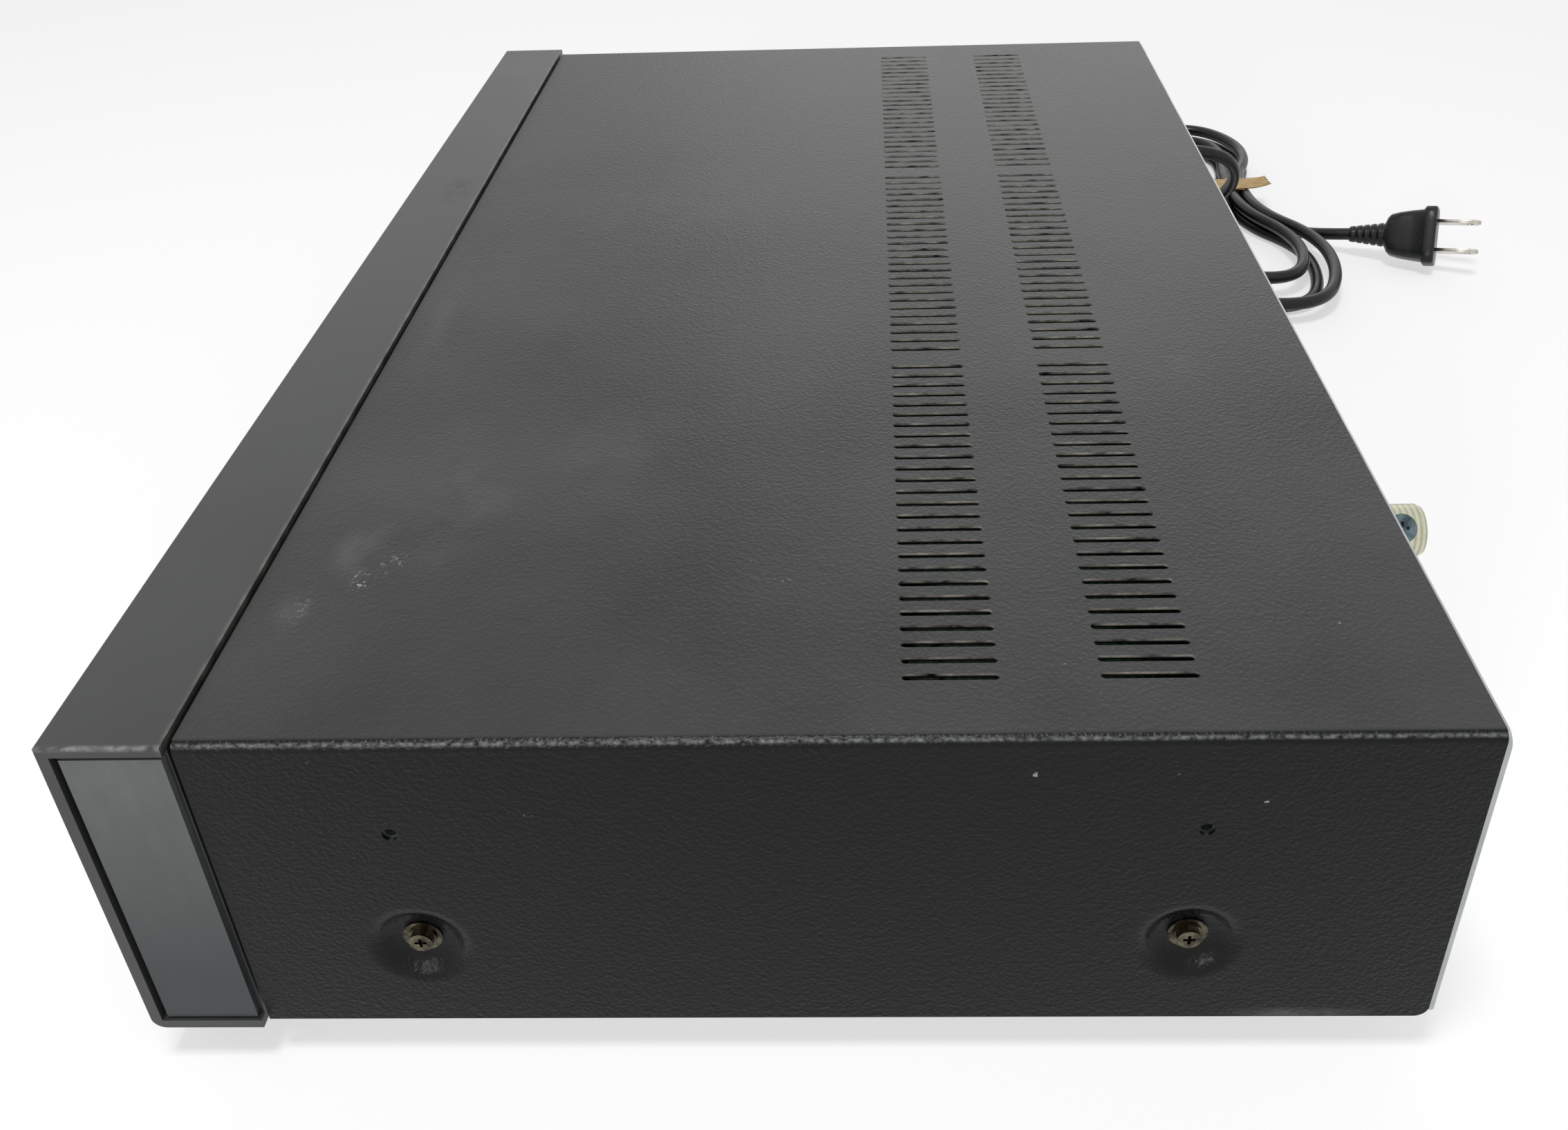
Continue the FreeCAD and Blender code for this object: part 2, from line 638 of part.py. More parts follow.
def rear_post():
    profile = [
        ("0", "-5"),
        ("2.8", "-5"),
        ("2.8", "0"),
        ("post_radius", "0"),
        ("post_radius", "post_long - 1.6"),
        ("post_radius - 0.5", "post_long - 0.5"),
        ("post_radius - 1.6", "post_long"),
        ("3", "post_long"),
        ("2.4", "post_long - 2.5"),
        ("0", "post_long - 2.5"),
    ]
    body = lathe("post_turned", profile, "y", REAR_FACE, ("post_side", "post_height"))
    tilt = number("post_screw_tilt")
    middle = V(
        number("post_side"),
        number("cover_rear") + number("rear_gauge") + number("post_screw_along"),
        number("post_height"),
    )
    lean = FreeCAD.Rotation(V(0, 1, 0), 90 - tilt)
    seat = number("post_radius") - 1.5

    def side_rod(radius, low, high):
        made = doc.addObject("Part::Cylinder", "side_rod")
        made.setExpression("Radius", bound(radius))
        made.Height = high - low
        made.Placement = FreeCAD.Placement(middle + lean.multVec(V(0, 0, low)), lean)
        return made

    node(cut(body, [side_rod("post_screw_radius + 0.15", seat, 9), side_rod("1.6", 1, 9)]), "rear_post")
    head = fuse([side_rod("post_screw_radius", seat, seat + 1.9), side_rod("1.5", 1.5, seat + 0.5)])
    slots = []
    for turn in (0, 90):
        made = doc.addObject("Part::Box", "cross_slot")
        made.Length, made.Width, made.Height = 3.2, 0.8, 2
        spin = lean.multiply(FreeCAD.Rotation(V(0, 0, 1), turn))
        made.Placement = FreeCAD.Placement(middle + spin.multVec(V(-1.6, -0.4, seat + 0.9)), spin)
        slots.append(made)
    node(cut(head, slots), "rear_post_screw")


# Front

def front_controls():
    """Every button has a cap, a flange behind the panel's face and a stem towards its switch."""
    for name, (x, z, wide, high) in button_rows.items():
        rocks = name == "skip_rocker"
        inside = f"{FACE_INSIDE} + 1.8" if rocks else f"{FACE_INSIDE} + 0.2"
        cap_x = (f"{x} - {wide} / 2", f"{x} + {wide} / 2")
        cap_z = (f"{z} - {high} / 2", f"{z} + {high} / 2")
        body = padded(
            name + "_cap", rectangle(cap_x, cap_z), ("bezel_front - button_proud", f"{inside} + 1.4")
        )
        front = number("bezel_front") - number("button_proud")
        rounded(body, "button_round / 2", lambda p: abs(p.y - front) < 0.01, name + "_edge")
        flange = block(
            (f"{cap_x[0]} - 1.2", f"{cap_x[1]} + 1.2"),
            (inside, f"{inside} + 1.4"),
            (f"{cap_z[0]} - 1.2", f"{cap_z[1]} + 1.2"),
        )
        stem_rear = "board_front - 5.2 - button_travel - 0.2"
        offsets = (-0.3, 0.3) if rocks else (0,)
        stems = [
            rod("y", "2", (f"{inside} + 0.8", stem_rear), (f"{x} + {offset} * {wide}", z))
            for offset in offsets
        ]
        if rocks:
            stems.append(
                rod(
                    "z",
                    "pivot_pin",
                    (f"{z} - {high} / 2 - 3.2", f"{z} + {high} / 2 + 3.2"),
                    (x, "rocker_axis"),
                ),
            )
        node(fuse([body, flange, *stems]), name)


def tray_front():
    half = "door_width / 2"
    body = padded(
        "door_cap",
        rectangle(
            (f"tray_centre - {half}", f"tray_centre + {half}"),
            ("door_level - door_height / 2", "door_level + door_height / 2"),
        ),
        ("bezel_front - 0.6", "tray_front_edge"),
    )
    front = number("bezel_front") - 0.6
    rounded(body, "button_round", lambda p: abs(p.y - front) < 0.01, "door_edge")
    node(body, "tray_front")


def display():
    plate = block(
        *[window_span("0")[0], ("bezel_front + 0.2", "bezel_front + window_thick"), window_span("0")[1]],
    )
    node(plate, "display_window")
    x, z = window_span("-6")
    glass = block(x, ("bezel_front + 8", "bezel_front + 14"), z)
    tip = rod("x", "1.6", (x[1], f"{x[1]} + 4"), ("bezel_front + 11", "window_level"))
    holders = [
        block((side, f"{side} + 4"), ("bezel_front + 11", "board_front"), (f"{z[0]} - 2", f"{z[1]} + 2"))
        for side in ("window_centre - 40", "window_centre + 36")
    ]
    node(fuse([glass, tip, *holders]), "display_module")


def front_board():
    """The board behind the panel, and on it the switches and the two level controls."""
    behind = ("board_front", "board_front + board_thick")
    through = ("board_front - 1", "board_front + 3")
    sheet_board = block(("-board_half", "board_half"), behind, ("board_low", "board_high"))
    mouth = block(("tray_centre - 74", "tray_centre + 74"), through, ("60", "board_high + 1"))
    jack = block(("-board_half - 1", "phones_side + 7"), through, ("board_low - 1", "phones_level + 7"))
    node(cut(sheet_board, [mouth, jack]), "front_board")
    switches = []
    for name, (x, z, wide, _) in button_rows.items():
        offsets = (-0.3, 0.3) if name == "skip_rocker" else (0,)
        for offset in offsets:
            centre = f"{x} + {offset} * {wide}"
            case = block(
                (f"{centre} - 3", f"{centre} + 3"),
                ("board_front - 3.8", "board_front"),
                (f"{z} - 3", f"{z} + 3"),
            )
            switches.append(
                fuse([case, rod("y", "1.6", ("board_front - 5.2", "board_front - 1"), (centre, z))])
            )
    for x, z in (("knob_side", "knob_level"), ("phones_knob_side", "phones_level")):
        case = block((f"{x} - 6", f"{x} + 6"), ("board_front - 6", "board_front"), (f"{z} - 6", f"{z} + 6"))
        collar = rod("y", "shaft_radius + 1.3", ("bezel_front + 5", "board_front - 1"), (x, z))
        bore = rod("y", "shaft_radius + fit_gap", ("bezel_front - 1", "board_front - 0.8"), (x, z))
        switches.append(cut(fuse([case, collar]), [bore]))
    node(group(switches), "front_switches")


def knobs():
    for label, radius, long, x, z in (
        ("record_level_knob", "knob_radius", "knob_long", "knob_side", "knob_level"),
        ("phones_level_knob", "phones_knob_radius", "knob_long - 2", "phones_knob_side", "phones_level"),
    ):
        profile = [
            ("0", f"-({long})"),
            (f"{radius} - 1.8", f"-({long})"),
            (f"{radius} - 0.9", f"0.9 - ({long})"),
            (f"{radius} - 0.4", "-2.6"),
            (radius, "-2.2"),
            (radius, "-0.6"),
            ("shaft_radius + 1", "-0.6"),
            ("shaft_radius", "0.4"),
            ("shaft_radius", "bezel_depth - 5"),
            ("0", "bezel_depth - 5"),
        ]
        body = lathe(label + "_turned", profile, "y", "bezel_front", (x, z))
        mark = block(
            (f"{x} - 0.6", f"{x} + 0.6"),
            (f"bezel_front - ({long}) - 1", f"bezel_front - ({long}) + 0.5"),
            (f"{z} + {radius} * 0.35", f"{z} + {radius} * 0.8"),
        )
        node(cut(body, [mark]), label)


def phones_socket():
    across = ("phones_side", "phones_level")
    ring = rod("y", "6.5", ("bezel_front - 1.6", "bezel_front"), across)
    barrel = rod("y", "4.8", ("bezel_front - 1.6", "bezel_front + 8"), across)
    case = block(
        ("phones_side - 6", "phones_side + 6"), ("bezel_front + 6", "bezel_front + 33"), (
            "phones_level - 6", "phones_level + 6"
        )
    )
    bore = rod("y", "phones_bore", ("bezel_front - 3", "bezel_front + 31"), across)
    node(cut(fuse([ring, barrel, case]), [bore]), "phones_socket")


# Disc mechanism

def toothed(teeth, module, turn, low, high, bore):
    """A spur gear with slim straight-sided teeth, so that a pair runs free. It stands on the Z axis."""
    pitch = 2 * math.pi / teeth
    root, tip = module * (teeth - 2.3) / 2, module * (teeth + 1.7) / 2
    points = []
    for i in range(teeth):
        middle = turn + i * pitch
        for radius, share in ((root, -0.31), (tip, -0.12), (tip, 0.12), (root, 0.31)):
            angle = middle + share * pitch
            points.append(V(radius * math.cos(angle), radius * math.sin(angle), low))
    face = Part.Face(Part.makePolygon(points + points[:1]))
    hole = Part.makeCylinder(bore, high - low + 2, V(0, 0, low - 1))
    return face.extrude(V(0, 0, high - low)).cut(hole)


def ring_disc(radius, low, high, bore):
    return Part.makeCylinder(radius, high - low, V(0, 0, low)).cut(
        Part.makeCylinder(bore, high - low, V(0, 0, low))
    )


rack_teeth, wheel_teeth, pinion_teeth = 16, 24, 10


def gear_places():
    """The middle of the tray gear, the pulley gear and the motor, in that order."""
    rack_radius = number("rack_module") * rack_teeth / 2
    apart = number("train_module") * (wheel_teeth + pinion_teeth) / 2
    first = V(number("rack_line") - rack_radius, number("gear_front"), 0)
    second = first - V(apart, 0, 0)
    return first, second, second - V(number("motor_offset"), 0, 0)


def drive():
    first, second, third = gear_places()
    bore = number("axle_radius") + number("fit_gap")
    low, high = number("pulley_low"), number("pulley_high")
    wheel_low, wheel_high, rack_low, rack_high = 60.6, 65, 66.6, 71
    tray_gear = toothed(wheel_teeth, number("train_module"), 0, wheel_low, wheel_high, bore)
    tray_gear = tray_gear.fuse(toothed(rack_teeth, number("rack_module"), 0, rack_low, rack_high, bore))
    tray_gear = tray_gear.fuse(ring_disc(7, wheel_high, rack_low, bore)).removeSplitter()
    tray_gear.translate(first)
    node(shaped(tray_gear), "tray_gear")
    pulley = ring_disc(number("pulley_radius"), low, high, bore)
    groove = ring_disc(
        20,
        number("belt_low") - 0.3,
        number("belt_low") + number("belt_height") + 0.3,
        number("pulley_radius") - 1.2,
    )
    half_pitch = math.pi / pinion_teeth
    pinion = toothed(pinion_teeth, number("train_module"), half_pitch, wheel_low, wheel_high, bore)
    pulley = pulley.cut(groove).fuse(ring_disc(3.4, high, wheel_low, bore)).fuse(pinion).removeSplitter()
    pulley.translate(second)
    node(shaped(pulley), "pulley_gear")
    small = ring_disc(number("motor_pulley_radius"), low, high, 1.04)
    groove = ring_disc(
        20,
        number("belt_low") - 0.3,
        number("belt_low") + number("belt_height") + 0.3,
        number("motor_pulley_radius") - 1.2,
    )
    small = small.cut(groove)
    small.translate(third)
    node(shaped(small), "motor_pulley")

    def loop(grow):
        """The shape that the belt goes round, as a solid."""
        level, height = number("belt_low"), number("belt_height")
        near = Part.makeCylinder(number("pulley_radius") - 0.9 + grow, height, second + V(0, 0, level))
        far = Part.makeCylinder(number("motor_pulley_radius") - 0.9 + grow, height, third + V(0, 0, level))
        big, little = number("pulley_radius") - 0.9 + grow, number("motor_pulley_radius") - 0.9 + grow
        lean = math.asin((big - little) / number("motor_offset"))
        normal = V(-math.sin(lean), math.cos(lean), 0)
        other = V(-math.sin(lean), -math.cos(lean), 0)
        corners = [
            second + normal * big,
            third + normal * little,
            third + other * little,
            second + other * big,
        ]
        corners = [p + V(0, 0, level) for p in corners]
        middle = Part.Face(Part.makePolygon(corners + corners[:1])).extrude(V(0, 0, height))
        return near.fuse(far).fuse(middle)

    node(shaped(loop(number("belt_thick") / 2).cut(loop(0))), "drive_belt")
    x, y = third.x, third.y
    case = block(
        (f"{x} - 10", f"{x} + 10"), (f"{y} - 7.5", f"{y} + 7.5"), ("loader_low + loader_floor", "54.4")
    )
    shaft = rod("z", "1", ("54", "pulley_high"), (str(x), str(y)))
    node(fuse([case, shaft]), "loader_motor")


def disc_tray():
    centre = "tray_centre"
    plate = block(
        (f"{centre} - tray_half", f"{centre} + tray_half"),
        ("tray_front_edge", "tray_rear_edge"),
        ("tray_low", "tray_top"),
    )
    rails = [
        block(span, ("tray_front_edge + 24", "rail_rear"), ("tray_low + 0.5", "tray_low + 0.5 + rail_size"))
        for span in (
            (f"{centre} - tray_half - rail_size", f"{centre} - tray_half + 6"),
            (f"{centre} + tray_half - 6", f"{centre} + tray_half + rail_size"),
        )
    ]
    pitch = math.pi * number("rack_module")
    addendum, dedendum = 0.85 * number("rack_module"), 1.25 * number("rack_module")
    line, low, high = number("rack_line"), 66.8, number("tray_low")
    start, stop = number("tray_front_edge") + 8, number("rail_rear") - 6
    base = Part.makeBox(4, stop - start, high - low, V(line + dedendum, start, low))
    teeth = []
    place = number("gear_front") + pitch / 2 + pitch * math.ceil((start - number("gear_front")) / pitch)
    while place < stop - pitch:
        points = [
            V(line + dedendum, place - 0.31 * pitch, low),
            V(line - addendum, place - 0.12 * pitch, low),
            V(line - addendum, place + 0.12 * pitch, low),
            V(line + dedendum, place + 0.31 * pitch, low),
        ]
        teeth.append(Part.Face(Part.makePolygon(points + points[:1])).extrude(V(0, 0, high - low)))
        place += pitch
    rack = shaped(base.multiFuse(teeth), "rack")
    bridge = block(
        ("rack_line + 1.6", "rack_line + 8"),
        ("tray_rear_edge - 2", "rail_rear - 6"),
        ("tray_low - 0.2", "tray_low + 3"),
    )
    well = rod("z", "well_radius", ("tray_top - well_depth", "tray_top + 1"), (centre, "disc_front"))
    small_well = rod("z", "40.5", ("tray_top - well_depth - 0.8", "tray_top"), (centre, "disc_front"))
    hub = rod("z", "slot_half", ("tray_low - 1", "tray_top + 1"), (centre, "disc_front"))
    slot = block(
        (f"{centre} - slot_half", f"{centre} + slot_half"),
        ("disc_front", "tray_rear_edge + 1"),
        ("tray_low - 1", "tray_top + 1"),
    )
    plastic = fuse([plate, *rails, rack, bridge])
    node(cut(plastic, [well, small_well, hub, slot]), "disc_tray")


def loader_frame():
    left, right = "tray_centre - loader_half", "tray_centre + loader_half"
    front, rear = "loader_front", "loader_rear"
    floor_top = "loader_low + loader_floor"
    floor = block((left, right), (front, rear), ("loader_low", floor_top))
    walls = [
        block((left, f"{left} + side_thick"), (front, rear), ("loader_low", "loader_top")),
        block((f"{right} - side_thick", right), (front, rear), ("loader_low", "loader_top")),
        block((left, right), (f"{rear} - 2.5", rear), ("loader_low", "68")),
        block((left, right), (front, f"{front} + 1.8"), ("loader_low", "50")),
    ]
    posts = [
        rod("z", "4", (FLOOR_TOP, "loader_low"), (x, y))
        for x in (f"{left} + 5", f"{right} - 5")
        for y in (f"{front} + 6", f"{rear} - 6")
    ]
    first, second, _ = gear_places()
    axles = [
        rod("z", "axle_radius", (floor_top, "71"), (str(first.x), str(first.y))),
        rod("z", "3.6", (floor_top, "60.4"), (str(first.x), str(first.y))),
        rod("z", "axle_radius", (floor_top, "65.2"), (str(second.x), str(second.y))),
        rod("z", "3.6", (floor_top, "55.4"), (str(second.x), str(second.y))),
    ]
    opening = block(
        ("tray_centre - 66", "tray_centre + 66"),
        ("lift_front - 0.8", f"{rear} - 4"),
        ("loader_low - 1", f"{floor_top} + 1"),
    )
    grooves = [
        block(span, (f"{front} - 1", f"{rear} - 8"), ("tray_low + 0.1", "tray_low + 0.9 + rail_size"))
        for span in (
            (f"{left} + side_thick - rail_size - 0.4", f"{left} + side_thick + 1"),
            (f"{right} - side_thick - 1", f"{right} - side_thick + rail_size + 0.4"),
        )
    ]
    pivots = [
        rod("x", "pivot_radius + fit_gap", (f"{left} - 1", f"{right} + 1"), ("pivot_rear", "pivot_level")),
    ]
    frame = cut(fuse([floor, *walls, *posts]), [opening, *grooves, *pivots])
    node(fuse([frame, *axles]), "loader_frame")


def clamp_bridge():
    left, right = "tray_centre - loader_half", "tray_centre + loader_half"
    strap = block((left, right), ("disc_front - 16", "disc_front + 16"), ("loader_top", "loader_top + 1.2"))
    hole = rod("z", "9.5", ("loader_top - 1", "loader_top + 3"), ("tray_centre", "disc_front"))
    ribs = [
        block((f"{left} + 8", f"{right} - 8"), (y, f"{y} + 1.2"), ("loader_top + 1", "loader_top + 4"))
        for y in ("disc_front - 16", "disc_front + 14.8")
    ]
    node(cut(fuse([strap, *ribs]), [hole]), "clamp_bridge")
    profile = [
        ("0", "79"), ("6", "79"), ("7", "80"), ("14", "80"), ("14", "82.6"),
        ("8.6", "82.6"), ("8.6", "86"), ("12.5", "86"), ("12.5", "87.6"), ("0", "87.6"),
    ]
    node(lathe("clamper_turned", profile, "z", "0", ("tray_centre", "disc_front")), "disc_clamper")


def lift_frame():
    centre = "tray_centre"
    left, right = f"{centre} - lift_half", f"{centre} + lift_half"
    high = ("lift_low", "lift_high")
    bars = [
        block((left, f"{left} + lift_bar"), ("lift_front", "pivot_rear + 4"), high),
        block((f"{right} - lift_bar", right), ("lift_front", "pivot_rear + 4"), high),
        block((left, right), ("lift_front", "lift_front + lift_bar"), high),
        block(
            (f"{centre} - 64", f"{centre} + 64"),
            ("pivot_rear - 4", "pivot_rear + 4"),
            ("lift_low + 1", "lift_high + 3"),
        ),
        rod(
            "x",
            "pivot_radius",
            (f"{centre} - loader_half + 1", f"{centre} + loader_half - 1"),
            ("pivot_rear", "pivot_level"),
        ),
        rod("y", "axle_radius", ("cam_front - 0.6", "lift_front + 1"), (centre, "pin_level")),
    ]
    node(fuse(bars), "lift_frame")


def cam_slider():
    """A flat bar with a sloping slot that lowers the lift frame's pin as it slides."""
    start, travel, drop = number("tray_centre"), number("cam_travel"), number("cam_drop")
    front, thick = number("cam_front"), number("cam_thick")
    radius = number("axle_radius") + 0.2
    level = number("pin_level")
    bar = block(
        (f"{start} - 14", f"{start + travel} + 14"),
        ("cam_front", "cam_front + cam_thick"),
        ("loader_low + loader_floor + 0.1", "54"),
    )
    slope = math.hypot(travel, drop)
    normal = V(drop, 0, travel) * (radius / slope)
    along = V(travel, 0, -drop) * (radius / slope)
    high_end, low_end = V(start, front - 1, level), V(start + travel, front - 1, level - drop)
    edges = [
        Part.LineSegment(high_end + normal, low_end + normal),
        Part.Arc(low_end + normal, low_end + along, low_end - normal),
        Part.LineSegment(low_end - normal, high_end - normal),
        Part.Arc(high_end - normal, high_end - along, high_end + normal),
    ]
    slot = Part.Face(Part.Wire([edge.toShape() for edge in edges])).extrude(V(0, thick + 2, 0))
    node(cut(bar, [shaped(slot, "cam_slot")]), "cam_slider")


def traverse():
    centre = "tray_centre"
    top = "plate_low + plate_thick"
    plate = block(
        (f"{centre} - plate_half", f"{centre} + plate_half"),
        ("plate_front", "plate_rear"),
        ("plate_low", top),
    )
    holes = [
        block(
            (f"{centre} - 20", f"{centre} + 20"),
            ("disc_front + 14", "plate_rear - 8"),
            ("plate_low - 1", f"{top} + 1"),
        ),
        rod("z", "6", ("plate_low - 1", f"{top} + 1"), (centre, "disc_front")),
    ]
    rods = [f"{centre} - rod_offset", f"{centre} + rod_offset"]
    holders = [
        block((f"{x} - 3.5", f"{x} + 3.5"), (y, f"{y} + 4"), (top, "rod_level + 3"))
        for x in rods
        for y in ("-52", "34")
    ]
    bearing = block(
        (f"{centre} + screw_offset - 3", f"{centre} + screw_offset + 3"),
        ("-52", "-48"),
        (top, "rod_level + 3"),
    )
    bores = [rod("y", "rod_radius", ("-60", "50"), (x, "rod_level")) for x in rods]
    bores.append(rod("y", "rod_radius + fit_gap", ("-60", "-40"), (f"{centre} + screw_offset", "rod_level")))
    plate = cut(plate, holes)
    node(cut(fuse([plate, *holders, bearing]), bores), "traverse_plate")
    node(group([rod("y", "rod_radius", ("-52", "38"), (x, "rod_level")) for x in rods]), "guide_rods")
    corners = [(x, y) for x in (f"{centre} - 41", f"{centre} + 41") for y in ("-73", "40")]
    node(group([rod("z", "2.9", ("lift_high", "plate_low"), place) for place in corners]), "traverse_dampers")
    motor = fuse([
        rod("z", "13", ("plate_low - 9", "plate_low"), (centre, "disc_front")),
        rod("z", "4.5", ("plate_low", f"{top} + 0.3"), (centre, "disc_front")),
    ])
    bore = rod("z", "1 + fit_gap", ("plate_low - 8", f"{top} + 2"), (centre, "disc_front"))
    node(cut(motor, [bore]), "spindle_motor")
    profile = [
        ("0", "52"), ("1", "52"), ("1", "60.2"), ("4.5", "60.2"), ("4.5", "69"), ("15", "69"), ("15", "73.6"),
        ("14.4", "74"), ("10.5", "74"), ("10.5", "73.4"), ("7.4", "73.4"), ("7.4", "76"), ("5.6", "78.5"),
        ("0", "78.5"),
    ]
    node(lathe("turntable_turned", profile, "z", "0", (centre, "disc_front")), "turntable")
    body = block((f"{centre} - 31", f"{centre} + 31"), ("-47.6", "-19"), ("60.3", "67.6"))
    raised = block((f"{centre} - 15", f"{centre} + 15"), ("-47", "-22"), ("67", "70.4"))
    lens = rod("z", "3.6", ("70", "71.6"), (centre, "disc_front + 25"))
    arm = block((f"{centre} + 30", f"{centre} + screw_offset + 3"), ("-40", "-32"), ("65", "67.4"))
    bores = [rod("y", "rod_radius + fit_gap", ("-60", "0"), (x, "rod_level")) for x in rods]
    node(cut(fuse([body, raised, lens, arm]), bores), "optical_pickup")
    screw_x = f"{centre} + screw_offset"
    node(rod("y", "rod_radius", ("-51.6", "24"), (screw_x, "rod_level")), "lead_screw")
    case = rod("y", "5.7", ("20", "36"), (screw_x, "rod_level + 2.6"))
    saddle = block((f"{screw_x} - 5", f"{screw_x} + 5"), ("24", "34"), (top, "rod_level + 2"))
    bore = rod("y", "rod_radius + fit_gap", ("10", "26"), (screw_x, "rod_level"))
    node(cut(fuse([case, saddle]), [bore]), "sled_motor")


# Boards, transformer and sockets

def electronics():
    board = block(("36", "206"), ("-96", "134"), ("board_level", "board_level + 1.6"))
    top = "board_level + 1.6"
    chips = [
        ("60", "-60", 24, 24, 2.6),
        ("112", "-48", 30, 30, 3),
        ("166", "-62", 18, 26, 2.6),
        ("70", "0", 14, 40, 3),
    ]
    parts = [
        block(
            (x, f"{x} + {wide}"), (y, f"{y} + {deep}"), (top, f"{top} + {high}")
        ) for x, y, wide, deep, high in chips
    ]
    parts += [rod("z", "5", (top, f"{top} + 16"), (f"{90 + 14 * i}", "34")) for i in range(6)]
    parts += [rod("z", "3.2", (top, f"{top} + 11"), (f"{86 + 9 * i}", "60")) for i in range(8)]
    parts += [block((x, f"{x} + 7"), ("88", "108"), (top, f"{top} + 12")) for x in ("60", "96", "132")]
    parts.append(block(("50", "80"), ("-90", "-84"), (top, f"{top} + 9")))
    node(fuse([board, *parts]), "main_board")
    parts = [block(("-206", "-130"), ("-96", "36"), ("board_level", top))]
    parts += [rod("z", "9", (top, f"{top} + 30"), (x, y)) for x in ("-192", "-170") for y in ("-74", "-50")]
    parts += [rod("z", "5", (top, f"{top} + 18"), ("-146", f"{-80 + 16 * i}")) for i in range(4)]
    parts.append(block(("-202", "-180"), ("-14", "-7"), (top, f"{top} + 8")))
    parts.append(block(("-172", "-150"), ("-8", "6"), (top, f"{top} + 14")))
    parts.append(block(("-200", "-140"), ("12", "28.6"), (top, f"{top} + 3")))
    parts += [
        block(
            ("-200", "-140"), (f"{12 + 5 * i}", f"{13.6 + 5 * i}"), (f"{top} + 3", f"{top} + 32")
        ) for i in range(4)
    ]
    node(group(parts), "power_board")
    x, y = "transformer_side", "transformer_rear"
    core = block((f"{x} - 30", f"{x} + 30"), (f"{y} - 25", f"{y} + 25"), ("24", "62"))
    window = block((f"{x} - 18", f"{x} + 18"), (f"{y} - 26", f"{y} + 26"), ("34", "52"))
    coil = block((f"{x} - 16", f"{x} + 16"), (f"{y} - 30", f"{y} + 30"), ("32", "54"))
    legs = [
        block((f"{x} + {i} - 5", f"{x} + {i} + 5"), (f"{y} - 25", f"{y} + 25"), (FLOOR_TOP, "25"))
        for i in (-30, 30)
    ]
    node(fuse([cut(core, [window]), coil, *legs]), "transformer")


def socket_block(places, span, label, extra=()):
    """Pin sockets with a turned outer contact, on one housing inside the rear panel."""
    case = block(span, ("118", "cover_rear"), ("board_level + 1.6", "36 + socket_pitch + 7"))
    barrels = [rod("y", "socket_radius", ("cover_rear - 1", f"{REAR_FACE} + 8.6"), place) for place in places]
    collars = [
        rod("y", "socket_radius + 0.9", ("cover_rear - 1", f"{REAR_FACE} + 1.4"), place) for place in places
    ]
    bores = [
        rod("y", "socket_radius - 0.9", (f"{REAR_FACE} + 1", f"{REAR_FACE} + 10"), place) for place in places
    ]
    pins = [rod("y", "1.5", (f"{REAR_FACE} + 0.5", f"{REAR_FACE} + 3"), place) for place in places]
    metal = cut(fuse([case, *barrels, *collars, *extra]), bores)
    node(fuse([metal, *pins]), label)


def sockets():
    socket_block(line_places, ("line_side - 18", "line_side + 18"), "line_jacks")
    optics = []
    for x, z in optic_places:
        optics.append(
            block((f"{x} - 6.4", f"{x} + 6.4"), ("118", f"{REAR_FACE} + 1.2"), (f"{z} - 4.9", f"{z} + 4.9"))
        )
    optics.append(
        block(
            ("digital_side + 56", "digital_side + 68"),
            ("118", "cover_rear"),
            ("board_level + 1.6", "36 + socket_pitch + 4"),
        )
    )
    strip = block(
        ("digital_side", "digital_side + 60"), ("118", "121"), ("board_level + 1.6", "board_level + 9")
    )
    socket_block(coax_places, ("digital_side - 9", "digital_side + 9"), "digital_jacks", (*optics, strip))


# Mains cord

def tube(path, label):
    """A round cord along a wire of lines and arcs. Its volume is compared with section times length."""
    radius = number("cord_thick") / 2
    start = path.Edges[0].valueAt(path.Edges[0].FirstParameter)
    ahead = path.Edges[0].tangentAt(path.Edges[0].FirstParameter)
    section = Part.Wire(Part.Circle(start, ahead, radius).toShape())
    solid = path.makePipeShell([section], True, False)
    expected = math.pi * radius ** 2 * path.Length
    share = abs(solid.Volume) / expected
    print(f"{label}: length {path.Length:.1f}, volume over section times length {share:.4f}")
    if abs(share - 1) > 0.01:
        raise ValueError(f"{label}: the tube's volume is off")
    return solid


def rounded_path(points, label):
    """Straight runs joined by tangent arcs, each as large as its two runs allow."""
    edges, start, radii = [], points[0], []
    for before, corner, after in zip(points, points[1:], points[2:]):
        back, ahead = before - corner, after - corner
        turn = math.pi - back.getAngle(ahead)
        trim = 0.45 * min(back.Length, ahead.Length)
        radii.append(trim / math.tan(turn / 2))
        first = corner + back * (trim / back.Length)
        last = corner + ahead * (trim / ahead.Length)
        bisector = (back * (1 / back.Length) + ahead * (1 / ahead.Length)).normalize()
        middle = corner + bisector * (radii[-1] / math.cos(turn / 2) - radii[-1])
        edges += [Part.LineSegment(start, first), Part.Arc(first, middle, last)]
        start = last
    edges.append(Part.LineSegment(start, points[-1]))
    print(f"{label}: radii " + ", ".join(f"{r:.1f}" for r in radii))
    return Part.Wire([edge.toShape() for edge in edges])


